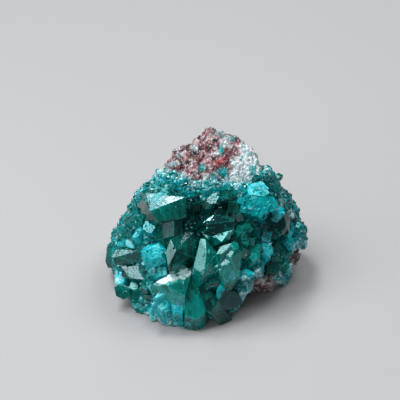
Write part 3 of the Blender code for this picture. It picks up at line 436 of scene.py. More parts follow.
# Round the sides, between these azimuths, they grow narrower by this share
SIDE_FROM = 40.0
SIDE_TO = 85.0
SIDE_NARROWER = 0.4

# Patches on the front: across, up, radius. These are on the bare rock.
PALE_PATCHES = ((9.6, 36.4, 3.4), (11.4, 33.2, 2.8), (7.6, 33.6, 2.2), (11.8, 35.6, 1.8), (4.6, 41.0, 1.0),
                (-5.2, 38.8, 0.9), (-2.4, 40.6, 1.0), (-8.6, 35.4, 1.4), (-10.2, 33.8, 1.4), (6.2, 36.4, 1.0),
                (0.6, 33.2, 0.9), (8.8, 40.0, 1.0), (-4.4, 33.4, 1.0), (-6.6, 37.0, 0.8), (2.4, 38.6, 0.8))
CYAN_PATCHES = ((3.6, 39.4, 0.9), (-0.1, 35.6, 1.0), (4.0, 34.8, 1.2), (6.1, 42.2, 0.7), (9.0, 38.4, 0.6),
                (1.6, 33.8, 0.6), (10.4, 35.0, 0.8), (-9.6, 34.6, 0.7))
RED_PATCHES = ((3.1, 37.2, 0.9), (4.6, 37.9, 0.6), (1.2, 36.9, 0.5))
# On the crystals: frosted over, a painted highlight over the bright upward face, coated along the outer
# edges, and painted shade in the hollows and under overhanging crystals
FROST_PATCHES = ((-10.8, 28.8, 2.2), (-9.6, 30.8, 1.8), (10.2, 30.6, 1.8), (-5.6, 6.6, 1.7),
                 (-9.4, 5.6, 1.4), (-12.0, 10.4, 1.2), (-16.0, 23.0, 1.5), (13.8, 18.6, 1.3),
                 (-7.2, 2.6, 1.8), (-11.6, 3.8, 1.8), (-14.8, 5.0, 1.4), (6.8, 13.0, 1.3),
                 (8.4, 31.4, 1.5), (-4.2, 1.6, 1.4))
GLINT_PATCHES = ((-8.6, 11.9, 1.0), (-6.9, 12.4, 1.2), (-5.0, 12.9, 1.1), (-3.6, 13.3, 0.9),
                 (-9.8, 11.3, 0.7))
FRINGE_PATCHES = ((16.6, 28.2, 0.9), (19.0, 25.8, 0.9), (20.2, 18.1, 1.3), (11.6, 13.0, 1.0),
                  (9.0, 11.6, 1.1), (8.2, 8.2, 1.0), (16.5, 10.3, 1.2), (-12.9, 3.2, 1.3),
                  (-10.3, 2.3, 1.4), (-7.1, 1.6, 1.3), (-2.8, 1.4, 1.2), (-18.8, 11.4, 0.8),
                  (-16.4, 6.4, 1.0), (5.6, 9.4, 0.8), (19.0, 14.0, 1.0))
HOLLOW_SHADE_PATCHES = ((-1.4, 25.6, 4.2), (3.6, 25.8, 3.0), (14.6, 23.2, 2.8), (-3.0, 22.6, 1.8), (6.0, 8.0, 3.0),
                (-5.6, 22.8, 1.6), (17.6, 24.0, 2.0), (1.6, 21.8, 1.6))
# A patch fades out between these shares of its radius
PATCH_FADE = (0.6, 1.3)
# Where in the noise the patches' ragged edges are read
PATCH_LEVEL = 3.0
# In the materials: how ragged a patch is, and minus the shares of its radius where it ends and is whole
PATCH_RAGGED = 2.4
PATCH_ENDS = (-1.25, -0.7)
# The rim of colour on the rock fades in between these distances inside the crust's edge, and the tint of
# the front's low rock fades out between these heights
RIM_FADE = (-2.4, 0.2)
LOW_FADE = (19.0, 24.0)

# Mesh sizes
ROCK_DIVISIONS = 6
BED_DIVISIONS = 7
# The rock's mesh is finer up to this far inside the crust's edge, and down to this height. The grain ends
# a little higher.
FINE_COVERED = 1.5
FINE_LOWEST = -2.0
GRAIN_LOWEST = -1.0
# How far inside the crust's edge and at what height the bed ends
BED_END = -0.9
BED_LOWEST = -0.5

# The small crystals: tries at placing them, and the chance of one on each kind of surface
DRUSE_TRIES = 54000
DRUSE_CHANCES = {"rock": 0.35, "bed": 1.0, "clear": 0.006, "cloudy": 0.05}
# Sine of their lowest and highest elevation, where the lines that find their places begin, and the lowest
# height of a place
DRUSE_SINES = (-0.68, 0.98)
DRUSE_FROM = 40.0
DRUSE_LOWEST = 0.6
# They make two pieces, which meet this far behind the core
DRUSE_SPLIT = 1.0
# How far they stray past the crust's edge: on the front above and below a height, and round the sides,
# where noise sets the share of it, which is this much more than the noise
STRAY_UP = 20.0
STRAY_HIGH = 1.1
STRAY_LOW = 0.2
STRAY_SIDES = 9.0
STRAY_MORE = 0.10
# From this far behind the core, they stray anywhere within an island
BACK_FROM = 4.0
STRAY_BACK = 90.0
ISLAND_FADE = (0.12, 0.42)
# Their sizes, how much smaller they are off the bed and along the crust's edge, which fades out between
# these distances inside it, and how much they vary by place
DRUSE_SIZES = (0.4, 1.0)
DRUSE_EDGE = (0.6, 3.0)
EDGE_SMALLER = 0.3
OFF_BED_SMALLER = 0.6
SIZE_SWELL = 0.9
# Their tilts, how much they lean outward, how far they stand out, their length and slimness, as shares
DRUSE_TILT = 0.45
DRUSE_OUTWARD = 0.4
DRUSE_PROUD = (0.35, 0.8)
DRUSE_LENGTH = 1.5
DRUSE_SLIM = (0.7, 1.0)
# Their shades: the darkest, how much zones and the crust's edge add, and how much they differ
DRUSE_DARKEST = 0.22
ZONE_PALER = 0.45
RIM_PALER = 0.60
SHADE_SPREAD = 0.10
# The right side's zones are darker by this share, which grows between these azimuths
SIDE_DARKER = 0.3
DARKER_AZIMUTHS = (45.0, 75.0)
CLOUDY_SHADES = (0.50, 0.80)
ROCK_SHADES = (0.55, 1.0)

# The crystals' worn edges: how wide, and how much paler than the faces they are painted, partly for frost
# along them and partly as a painted highlight
BEVEL = 0.08
EDGE_FROST_AND_GLINT = 0.28
# How much the shade differs from crystal to crystal, and from face to face
CRYSTAL_SPREAD = 0.05
FACE_SPREAD = 0.08

# Terraces on the large crystals: how many per millimetre of size, where from the middle (0) to the edge (1),
# how large, how far they rise or sink, in millimetres, how many of them rise, and their share of the depth
TERRACES_PER_MM = 3.0
TERRACE_PLACES = (0.35, 1.02)
TERRACE_SIZES = (0.35, 1.1)
TERRACE_RISES = (0.04, 0.22)
TERRACES_RISING = 0.6
TERRACE_DEPTH = 0.5
# How much more broken up the cloudy crystals are
CLOUDY_COARSER = 1.5

# The share of a growth line's length that its pattern is drawn out by
STRIAE_STRETCH = 0.88
# The white coating along the outer edges
FRINGE_COLOUR = (0.62, 0.90, 0.94)
# The blue-green of the light that the crystals' faces throw back
GLEAM = (0.62, 0.92, 1.0)
# The looks of the crystals: how dark or pale, and how cloudy
LOOKS = {
    "dark": (0.12, 0.04),
    "green": (0.34, 0.10),
    "pale": (0.46, 0.22),
    "teal": (0.48, 0.45),
    "frost": (0.72, 0.80),
    "cyan": (0.84, 0.62),
}
CLEAR_LOOKS = ("dark", "green", "pale")

DIOPTASE_IOR = 1.66
CLOUDY_IOR = 1.6
# How much light the clearest crystals let through, and how much of it cloud takes
CLEAREST = 0.66
CLOUD_DULLS = 0.6
# How far noise shifts the veins, in metres, and how strong the frost's stray spots are
VEIN_DRIFT = 0.0012
STRAY_FROST = 0.6
# How much rougher frost is
FROST_ROUGH = 0.6

# The camera: its distance, and where the front's foot lies in the photograph's frame
CAMERA_DISTANCE = 0.45
SENSOR_WIDTH = 36.0
PIXELS_PER_MM = 4.65
PHOTO_SIDE = 400.0
FOOT_PIXEL = (204.5, 334.0)

# Softboxes that face the point to be lit: azimuth, elevation, distance, size, brightness, colour
LIT_POINT = Vector((0.0, 0.0, 0.015))
LIGHTS = {
    "left_high": (-68, 64, 0.45, (0.22, 0.22), 7.4, (1.0, 0.99, 0.98)),
    "left": (-72, 41, 0.50, (0.17, 0.17), 4.0, (1.0, 1.0, 1.0)),
    "right_high": (114, 62, 0.45, (0.22, 0.18), 5.6, (1.0, 0.99, 0.98)),
    "high_behind": (-146, 69, 0.50, (0.14, 0.12), 22.0, (0.97, 0.99, 1.0)),
    "behind": (170, 46, 0.55, (0.22, 0.16), 3.0, (0.97, 0.99, 1.0)),
    "front": (-24, 38, 0.55, (0.40, 0.30), 1.15, (1.0, 0.98, 0.96)),
}
ROOM_LIGHT = (0.90, 0.95, 1.0, 1.0)
ROOM_STRENGTH = 0.12


def place(across, up, out):
    """The point with these millimetres on the picture plane and out of it."""
    return FOOT + RIGHT * across + UP * up + OUT * out


def on_picture(point):
    """(across, up, out) of a point."""
    offset = point - FOOT
    return offset.dot(RIGHT), offset.dot(UP), offset.dot(OUT)


def bearing(azimuth, elevation):
    a = math.radians(azimuth)
    e = math.radians(elevation)
    return Vector((math.sin(a) * math.cos(e), -math.cos(a) * math.cos(e), math.sin(e)))


def broken_radius(direction):
    """Distance from the core to the rock's broken faces, with their edges worn a little round."""
    total = 0.0
    for azimuth, elevation, distance in BROKEN_FACES:
        toward = bearing(azimuth, elevation).dot(direction)
        if toward > 0.0:
            total += (toward / distance) ** EDGE_SHARPNESS
    return total ** (-1.0 / EDGE_SHARPNESS)


def wave(point, per_mm, start=(0, 0, 0)):
    """Smooth noise from -1 to 1, with about this many waves a millimetre."""
    return noise.noise(point * per_mm + Vector(start))


def layered(point, layers):
    return sum(height * wave(point, per_mm, *start) for per_mm, height, *start in layers)


def cell_rise(point, per_mm, start=(0, 0, 0)):
    """0 on the walls between the cells of a noise, rising to their middles."""
    nearest = noise.voronoi(point * per_mm + Vector(start))[0]
    return nearest[1] - nearest[0]


def relief(point):
    """Lumps, ledges and pits of the rock, in millimetres."""
    across, up, _ = on_picture(point)
    height = layered(point, RELIEF)
    height += LEDGE_HEIGHT * math.tanh(LEDGE_STEEPNESS * wave(point, LEDGE_WAVES, (2, 9, 4)))
    for lump_across, lump_up, radius, lump in ROCK_LUMPS:
        far = ((across - lump_across) ** 2 + (up - lump_up) ** 2) / radius**2
        if far < LUMP_END and point.y < CORE.y + FRONT_FADE[1]:
            height += lump * math.exp(-LUMP_FALL * far)
    return height


def rock_radius(direction):
    radius = broken_radius(direction)
    return radius + relief(CORE + direction * radius)


def rock_out(across, up):
    """How far out of the picture plane the rock's surface lies at a place on it, or None past its edge."""
    out = SEARCH_FROM
    while out > SEARCH_TO:
        offset = place(across, up, out) - CORE
        if offset.length < rock_radius(offset.normalized()):
            return out
        out -= SEARCH_STEP
    return None


def surface_point(direction):
    """The point of the rock's surface in a direction from the core."""
    return CORE + direction * rock_radius(direction)


def between(value, low, high):
    """0 at low, 1 at high, smooth between."""
    share = min(1.0, max(0.0, (value - low) / (high - low)))
    return share * share * (3.0 - 2.0 * share)


def rim_height(across):
    for (left, low), (right, high) in zip(CRUST_RIM, CRUST_RIM[1:]):
        if across <= right:
            return low + (high - low) * max(0.0, across - left) / (right - left)
    return CRUST_RIM[-1][1]


def crust_inside(point):
    """Millimetres from the crust's edge at a point of the rock, positive where crust covers it."""
    across, up, _ = on_picture(point)
    inside = rim_height(across) - up
    azimuth = math.degrees(math.atan2(point.x - CORE.x, CORE.y - point.y))
    wrap = min(azimuth - WRAP_LEFT, WRAP_RIGHT - azimuth) * WRAP_MM_PER_DEGREE
    inside = min(inside, wrap, point.z - CRUST_FOOT)
    for patch_across, patch_up, radius in BARE_PATCHES:
        inside = min(inside, math.hypot(across - patch_across, up - patch_up) - radius)
    return inside + layered(point, CRUST_EDGE)


def crust_radius(direction):
    radius = rock_radius(direction)
    point = CORE + direction * radius
    share = between(crust_inside(point), -EDGE_THINNING, EDGE_THINNING)
    return radius - CRUST_SUNK + (CRUST_SUNK + CRUST_THICK + layered(point, CRUST_BUMPS)) * share


def cut(bm, point, normal, **cleared):
    """Cuts a mesh along a plane, clears one side, and gives the edges of the cut."""
    geometry = bm.verts[:] + bm.edges[:] + bm.faces[:]
    made = bmesh.ops.bisect_plane(bm, geom=geometry, plane_co=point, plane_no=normal, **cleared)
    return [part for part in made["geom_cut"] if isinstance(part, bmesh.types.BMEdge)]


def clip(bm, point, normal):
    """Cuts away the side of a convex mesh that the normal points to, and closes the cut."""
    edges = cut(bm, point, normal, clear_outer=True)
    if edges:
        bmesh.ops.contextual_create(bm, geom=edges)


def cut_flat(bm):
    """Cuts a closed mesh off below the ground and closes it with one flat face."""
    bmesh.ops.holes_fill(bm, edges=cut(bm, (0, 0, 0), (0, 0, 1), clear_inner=True), sides=0)
    bmesh.ops.recalc_face_normals(bm, faces=bm.faces)


def crystal_shape(width, length, rng):
    """An unevenly grown crystal along +Z with its tip near the origin: six prism faces, three end faces."""
    bm = bmesh.new()
    bmesh.ops.create_cube(bm, size=2.0 * (width + length))
    clip(bm, Vector((0, 0, -length)), Vector((0, 0, -1)))
    for k in range(6):
        angle = math.radians(60 * k)
        normal = Vector((math.cos(angle), math.sin(angle), 0.0))
        clip(bm, normal * width * 0.5 * rng.uniform(*PRISM_UNEVEN), normal)
    for k in range(3):
        angle = math.radians(30 + 120 * k)
        normal = Vector((math.cos(angle) * RHOMB_SLOPE, math.sin(angle) * RHOMB_SLOPE, 1.0)).normalized()
        clip(bm, normal * width * rng.uniform(-END_UNEVEN, END_UNEVEN), normal)
    bmesh.ops.recalc_face_normals(bm, faces=bm.faces)
    return bm


def hull_shape(points):
    """The convex mesh round some points, with its flat faces whole."""
    bm = bmesh.new()
    verts = [bm.verts.new(point) for point in points]
    hull = bmesh.ops.convex_hull(bm, input=verts)
    loose = [part for part in hull["geom_interior"] if isinstance(part, bmesh.types.BMVert)]
    bmesh.ops.delete(bm, geom=loose, context="VERTS")
    bmesh.ops.dissolve_limit(bm, angle_limit=math.radians(2.0), verts=bm.verts, edges=bm.edges)
    bmesh.ops.recalc_face_normals(bm, faces=bm.faces)
    return bm


def pointing(axis, roll):
    """The turn that takes +Z to the axis and rolls about it."""
    return axis.to_track_quat("Z", "Y").to_matrix().to_4x4() @ Matrix.Rotation(math.radians(roll), 4, "Z")


def axis_of(clock, lean):
    c = math.radians(clock)
    t = math.radians(lean)
    return RIGHT * (math.sin(t) * math.cos(c)) + UP * (math.sin(t) * math.sin(c)) + OUT * math.cos(t)


def nearest_rock_out(across, up):
    """How far out the rock lies at a place, or at the nearest place towards its middle that has rock."""
    out = rock_out(across, up)
    while out is None:
        across *= 1.0 - SEARCH_INWARD
        up += SEARCH_INWARD * (MIDDLE_UP - up)
        out = rock_out(across, up)
    return out


def tip_of(crystal):
    """The tip in space. The rock under the root sets how far out it stands."""
    axis = axis_of(crystal.clock, crystal.lean)
    reach = crystal.length + CRUST_THICK * 0.5
    out = nearest_rock_out(crystal.across - reach * axis.dot(RIGHT), crystal.up - reach * axis.dot(UP))
    return place(crystal.across, crystal.up, out + reach * axis.dot(OUT))


def link(obj):
    bpy.context.scene.collection.objects.link(obj)
    return obj


def mesh_object(name, bm):
    """A new object from a mesh in the making, which it frees."""
    mesh = bpy.data.meshes.new(name)
    bm.to_mesh(mesh)
    bm.free()
    return link(bpy.data.objects.new(name, mesh))


def finish_piece(obj, made_of, node):
    """Brings a piece from millimetres into the row frame, sets its material, parents it to the root and hides
    its CAD part.
    """
    obj.data.transform(Matrix.Scale(MM, 4) @ Matrix.Translation(CENTRING))
    obj.data.materials.clear()
    obj.data.materials.append(made_of)
    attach(obj, "root")
    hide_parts(node)


def evaluated_mesh(obj):
    graph = bpy.context.evaluated_depsgraph_get()
    return bpy.data.meshes.new_from_object(obj.evaluated_get(graph))


def set_values(mesh, name, values, domain="POINT"):
    layer = mesh.attributes.new(name, "FLOAT", domain)
    layer.data.foreach_set("value", values)


def patch_share(patches, across, up):
    """How strongly a place on the front lies in some patches, from 0 to 1."""
    spot = Vector((across, up, PATCH_LEVEL))
    across += layered(spot, PATCH_ACROSS)
    up += layered(spot, PATCH_UP)
    share = 0.0
    for patch_across, patch_up, radius in patches:
        far = math.hypot(across - patch_across, up - patch_up) / radius
        share = max(share, 1.0 - between(far, *PATCH_FADE))
    return share


def front_share(point):
    """1 on the front of the rock, fading to 0 round its sides and over its top."""
    begin, end = FRONT_FADE
    return 1.0 - between(point.y + layered(point, FRONT_EDGE), CORE.y + begin, CORE.y + end)


def island_share(point):
    """How far into one of the scattered patches of small crystals on the bare rock a place lies."""
    return between(layered(point, ISLANDS), *ISLAND_FADE)


def grain(point):
    """The rock's fine broken grain, in millimetres."""
    height = CELL_HEIGHT * cell_rise(point, 0.9) - CELL_SUNK
    height += FINE_CELL_HEIGHT * min(FINE_CELL_LIMIT, cell_rise(point, 2.0, (5, 1, 2)))
    height += layered(point, GRAIN_WAVES)
    cracks = abs(wave(point, 0.28, (3, 1, 8)))
    height -= CRACK_DEPTH * (1.0 - between(cracks, 0.0, CRACK_WIDTH))
    height += SWELL_HEIGHT * (SWELL_MIDDLE - abs(wave(point, 0.17, (6, 3, 1))))
    return height - PIT_DEPTH * max(0.0, wave(point, 0.7, (9, 2, 6)) - PITS_FROM)


def rock_values(point):
    """What the rock's colours depend on at a point, from 0 to 1 each."""
    across, up, _ = on_picture(point)
    front = front_share(point)
    inside = crust_inside(surface_point((point - CORE).normalized()))
    rim = between(inside + layered(point, RIM_EDGE), *RIM_FADE)
    return {
        "pale": front * patch_share(PALE_PATCHES, across, up),
        "cyan": front * patch_share(CYAN_PATCHES, across, up),
        "red": front * patch_share(RED_PATCHES, across, up),
        "rim": max(rim, (1.0 - front) * island_share(point)),
        "low": front * (1.0 - between(up, *LOW_FADE)),
    }


def build_rock():
    bm = bmesh.new()
    bmesh.ops.create_icosphere(bm, subdivisions=ROCK_DIVISIONS, radius=1.0)
    fine = set()
    for face in bm.faces:
        direction = face.calc_center_median().normalized()
        point = CORE + direction * broken_radius(direction)
        if point.z >= FINE_LOWEST and crust_inside(point) <= FINE_COVERED:
            fine.update(face.edges)
    bmesh.ops.subdivide_edges(bm, edges=list(fine), cuts=2, use_grid_fill=True)
    bmesh.ops.triangulate(bm, faces=bm.faces)
    for vert in bm.verts:
        direction = vert.co.normalized()
        point = surface_point(direction)
        across, up, _ = on_picture(point)
        bare = 1.0 - between(crust_inside(point), *GRAIN_FADE)
        rise = grain(point) * bare if point.z > GRAIN_LOWEST else 0.0
        rise += CHALK_PROUD * (front_share(point) * patch_share(PALE_PATCHES, across, up))
        vert.co = point + direction * rise
    cut_flat(bm)
    values = [rock_values(vert.co) for vert in bm.verts]
    rock = mesh_object("rock", bm)
    for name in values[0]:
        set_values(rock.data, name, [value[name] for value in values])
    return rock


def star_shape(radius_of, divisions):
    """A closed mesh whose surface lies at radius_of(direction) from the core."""
    bm = bmesh.new()
    bmesh.ops.create_icosphere(bm, subdivisions=divisions, radius=1.0)
    for vert in bm.verts:
        direction = vert.co.normalized()
        vert.co = CORE + direction * radius_of(direction)
    return bm


def bed_radius(direction):
    radius = crust_radius(direction)
    point = CORE + direction * radius
    return radius + BED_CELL_HEIGHT * cell_rise(point, 1.5) - BED_CELL_SUNK + BED_RIPPLE * wave(point, 3.0)


def build_bed():
    bm = star_shape(bed_radius, BED_DIVISIONS)
    hidden = []
    for face in bm.faces:
        point = face.calc_center_median()
        surface = surface_point((point - CORE).normalized())
        if crust_inside(surface) < BED_END or point.z < BED_LOWEST:
            hidden.append(face)
    bmesh.ops.delete(bm, geom=hidden, context="FACES")
    cut(bm, (0, 0, 0), (0, 0, 1), clear_inner=True)
    return mesh_object("crust", bm)


class Group:
    """Crystals of like look, gathered to be joined in one mesh."""

    def __init__(self, name):
        self.random = random.Random(name)
        self.collection = bpy.data.collections.new(name)
        bpy.context.scene.collection.children.link(self.collection)

    def add(self, bm, look):
        made = bmesh.ops.bevel(bm, geom=bm.edges[:], offset=BEVEL, segments=1, affect="EDGES",
                               clamp_overlap=True)
        edge_faces = set(made["faces"])
        # Edges painted paler: partly frost, partly a painted highlight
        edge_frost_and_glint = [EDGE_FROST_AND_GLINT if face in edge_faces else 0.0 for face in bm.faces]
        mesh = bpy.data.meshes.new("crystal")
        bm.to_mesh(mesh)
        bm.free()
        shade, cloud = LOOKS[look]
        shade += self.random.gauss(0.0, CRYSTAL_SPREAD)
        shades = [shade + extra + self.random.gauss(0.0, FACE_SPREAD) for extra in edge_frost_and_glint]
        set_values(mesh, "shade", shades, "FACE")
        set_values(mesh, "cloud", [cloud] * len(mesh.polygons), "FACE")
        self.collection.objects.link(bpy.data.objects.new("crystal", mesh))

    def joined(self, name):
        """One mesh of the whole group, without the surfaces inside it."""
        bpy.context.view_layer.update()
        first = self.collection.objects[0]
        self.collection.objects.unlink(first)
        link(first)
        modifier = first.modifiers.new("union", "BOOLEAN")
        modifier.operation = "UNION"
        modifier.solver = "MANIFOLD"
        modifier.operand_type = "COLLECTION"
        modifier.collection = self.collection
        mesh = evaluated_mesh(first)
        mesh.name = name
        bm = bmesh.new()
        bm.from_mesh(mesh)
        cut_flat(bm)
        bm.to_mesh(mesh)
        bm.free()
        bpy.data.objects.remove(first)
        for helper in list(self.collection.objects):
            bpy.data.objects.remove(helper)
        bpy.data.collections.remove(self.collection)
        return link(bpy.data.objects.new(name, mesh))


def group_of(groups, look):
    return groups["clear" if look in CLEAR_LOOKS else "cloudy"]


def add_column(groups, look, front, axis, depth):
    """Adds the crystal that runs back from some corners along an axis."""
    group_of(groups, look).add(hull_shape(front + [corner - axis * depth for corner in front]), look)


def add_steps(groups, look, rng, front, middle, axis, depth):
    """A growth step beside a large crystal."""
    span = max((corner - middle).length for corner in front)
    for _ in range(STEPS if span > STEP_SPAN else 0):
        corner = rng.choice(front)
        share = rng.uniform(*STEP_SIZES)
        start = middle + (corner - middle) * rng.uniform(*STEP_PLACES)
        start -= axis * rng.uniform(*STEP_SETBACKS) * span
        add_column(groups, look, [start + (point - middle) * share for point in front], axis, depth)


def add_terraces(groups, look, rng, front, middle, axis, depth):
    """Many small parallel individuals that break up a large crystal's faces and edges."""
    span = max((corner - middle).length for corner in front)
    coarse = 1.0 if look in CLEAR_LOOKS else CLOUDY_COARSER
    for _ in range(int(TERRACES_PER_MM * span * coarse)):
        first, second = rng.sample(front, 2)
        edge = first + (second - first) * rng.uniform(0.0, 1.0)
        start = middle + (edge - middle) * rng.uniform(*TERRACE_PLACES)
        share = rng.uniform(*TERRACE_SIZES) / span
        rise = rng.uniform(*TERRACE_RISES)
        start += axis * rise * coarse * (1.0 if rng.random() < TERRACES_RISING else -1.0)
        step = [start + (point - middle) * share for point in front]
        add_column(groups, look, step, axis, depth * TERRACE_DEPTH)


def add_blocks(groups, rng):
    fine_rng = random.Random(SEED + 7)
    spots = []
    for block in BLOCKS:
        axis = axis_of(block.clock, block.lean)
        count = len(block.corners)
        middle_across = sum(corner[0] for corner in block.corners) / count
        middle_up = sum(corner[1] for corner in block.corners) / count
        base = nearest_rock_out(middle_across, middle_up)
        front = [place(u, v, base + out) for u, v, out in block.corners]
        add_column(groups, block.look, front, axis, block.depth)
        middle = sum(front, Vector()) / count
        add_steps(groups, block.look, rng, front, middle, axis, block.depth)
        add_terraces(groups, block.look, fine_rng, front, middle, axis, block.depth)
        spots.append((middle, BLOCK_ROOM * max((corner - middle).length for corner in front)))
    return spots


def add_single(groups, rng, tip, axis, width, length, roll, look):
    bm = crystal_shape(width, length, rng)
    bmesh.ops.transform(bm, matrix=Matrix.Translation(tip) @ pointing(axis, roll), verts=bm.verts)
    group_of(groups, look).add(bm, look)


def add_set_crystals(groups, rng):
    spots = []
    for crystal in CRYSTALS:
        tip = tip_of(crystal)
        axis = axis_of(crystal.clock, crystal.lean)
        depth = crystal.length + EMBED
        add_single(groups, rng, tip, axis, crystal.width, depth, crystal.roll, "green")
        spots.append((tip, crystal.width))
        turn = pointing(axis, crystal.roll)
        for _ in range(crystal.steps):
            angle = rng.uniform(0.0, 2.0 * math.pi)
            aside = crystal.width * rng.uniform(*COMPANION_ASIDE)
            back = crystal.width * rng.uniform(*COMPANION_BACK)
            offset = turn @ Vector((aside * math.cos(angle), aside * math.sin(angle), -back))
            width = crystal.width * rng.uniform(*COMPANION_WIDTHS)
            add_single(groups, rng, tip + offset, axis, width, depth - back, crystal.roll, "dark")
    return spots


def add_fill_crystals(groups, rng, spots):
    made = 0
    for _ in range(FILL_TRIES):
        if made == FILL_COUNT:
            break
        azimuth = rng.uniform(WRAP_LEFT, WRAP_RIGHT)
        elevation = rng.uniform(*FILL_ELEVATIONS)
        direction = bearing(azimuth, elevation)
        point = surface_point(direction)
        if crust_inside(point) < FILL_INSIDE or point.z < FILL_LOWEST:
            continue
        side = between(abs(azimuth), SIDE_FROM, SIDE_TO)
        width = rng.uniform(*FILL_WIDTHS) * (1.0 - SIDE_NARROWER * side)
        proud = CRUST_THICK + width * rng.uniform(*FILL_PROUD)
        tilt = Vector([rng.gauss(0.0, FILL_TILT) for _ in range(3)])
        axis = (direction + tilt).normalized()
        tip = point + axis * proud
        if any((tip - other).length < FILL_SPACING * (width + other_width) for other, other_width in spots):
            continue
        spots.append((tip, width))
        look = ("green", "dark", "teal")[made % 3]
        add_single(groups, rng, tip, axis, width, proud + FILL_ROOT, rng.uniform(0, 120), look)
        made += 1


def build_crystals():
    rng = random.Random(SEED)
    groups = {"clear": Group("clear_helpers"), "cloudy": Group("cloudy_helpers")}
    spots = add_blocks(groups, rng) + add_set_crystals(groups, rng)
    add_fill_crystals(groups, rng, spots)
    return groups["clear"].joined("clear_crystals"), groups["cloudy"].joined("cloudy_crystals")


def tree_of(obj):
    bm = bmesh.new()
    bm.from_mesh(obj.data)
    tree = BVHTree.FromBMesh(bm)
    bm.free()
    return tree


def add_druse_crystal(verts, faces, tip, axis, width, length, roll, stretch):
    """Appends one small prism with its three end faces to the lists."""
    turn = pointing(axis, roll)
    radius = width / math.sqrt(3.0)
    start = len(verts)
    for level in range(2):
        for k in range(6):
            angle = math.radians(30 + 60 * k)
            drop = radius * RHOMB_SLOPE * (1.0 if k % 2 == 0 else 0.5)
            z = -length if level == 0 else -drop
            spot = Vector((radius * math.cos(angle) * stretch, radius * math.sin(angle), z))
            spot = tip + turn @ spot
            verts.append(Vector((spot.x, spot.y, max(spot.z, 0.0))))
    verts.append(tip)
    for k in range(6):
        after = (k + 1) % 6
        faces.append((start + k, start + after, start + 6 + after, start + 6 + k))
    for k in (0, 2, 4):
        faces.append((start + 6 + (k - 1) % 6, start + 6 + k, start + 6 + (k + 1) % 6, start + 12))
    faces.append(tuple(start + k for k in range(5, -1, -1)))


def first_hit(trees, start, toward):
    """(what, spot, normal) of the first surface met on a line, or None."""
    nearest = None
    for kind, tree in trees.items():
        spot, normal, _, far = tree.ray_cast(start, toward)
        if spot is not None and (nearest is None or far < nearest[0]):
            nearest = (far, kind, spot, normal)
    return None if nearest is None else nearest[1:]


def straying(spot):
    """How far past the crust's edge small crystals grow near a spot, in millimetres."""
    if spot.y < CORE.y:
        return STRAY_HIGH if on_picture(spot)[1] > STRAY_UP else STRAY_LOW
    if spot.y > CORE.y + BACK_FROM and island_share(spot) > 0.5:
        return STRAY_BACK
    return STRAY_SIDES * max(0.0, layered(spot, DRUSE_WANDER) + STRAY_MORE)


def druse_shade(rng, kind, spot, side, rim):
    zone = 0.5 + 0.5 * wave(spot, 0.22, (3, 8, 2))
    shade = DRUSE_DARKEST + ZONE_PALER * zone * (1.0 - SIDE_DARKER * side)
    shade = shade + RIM_PALER * rim * rng.random() + rng.gauss(0, SHADE_SPREAD)
    if kind == "cloudy":
        shade = rng.uniform(*CLOUDY_SHADES)
    if kind == "rock":
        shade = rng.uniform(*ROCK_SHADES)
    return min(1.0, max(0.0, shade))


def build_druse(rock, bed, clear, cloudy):
    """Thousands of small crystals over the crust, and a few on the larger crystals and the rock."""
    rng = random.Random(SEED + 1)
    trees = {"rock": tree_of(rock), "bed": tree_of(bed), "clear": tree_of(clear), "cloudy": tree_of(cloudy)}
    parts = {"druse_front": ([], [], []), "druse_sides": ([], [], [])}
    for _ in range(DRUSE_TRIES):
        azimuth = rng.uniform(-180.0, 180.0)
        direction = bearing(azimuth, math.degrees(math.asin(rng.uniform(*DRUSE_SINES))))
        hit = first_hit(trees, CORE + direction * DRUSE_FROM, -direction)
        if hit is None:
            continue
        kind, spot, normal = hit
        inside = crust_inside(surface_point(direction))
        if inside < -straying(spot) or spot.z < DRUSE_LOWEST or rng.random() > DRUSE_CHANCES[kind]:
            continue
        rim = 1.0 - between(inside, *DRUSE_EDGE)
        side = between(azimuth, *DARKER_AZIMUTHS)
        size = rng.uniform(*DRUSE_SIZES) * (1.0 - EDGE_SMALLER * rim)
        size *= 1.0 if kind == "bed" else OFF_BED_SMALLER
        size *= 1.0 + SIZE_SWELL * max(0.0, wave(spot, 0.16, (7, 2, 5)))
        tilt = Vector([rng.gauss(0, DRUSE_TILT) for _ in range(3)])
        axis = (normal + direction * DRUSE_OUTWARD + tilt).normalized()
        tip = spot + axis * size * rng.uniform(*DRUSE_PROUD)
        shade = druse_shade(rng, kind, spot, side, rim)
        verts, faces, shades = parts["druse_front" if spot.y < CORE.y + DRUSE_SPLIT else "druse_sides"]
        roll = rng.uniform(0, 120)
        count = len(faces)
        add_druse_crystal(verts, faces, tip, axis, size, size * DRUSE_LENGTH, roll, rng.uniform(*DRUSE_SLIM))
        shades.extend([shade] * (len(faces) - count))
    made = []
    for name, (verts, faces, shades) in parts.items():
        mesh = bpy.data.meshes.new(name)
        mesh.from_pydata(verts, [], faces)
        set_values(mesh, "shade", shades, "FACE")
        made.append(link(bpy.data.objects.new(name, mesh)))
    return made


# Materials


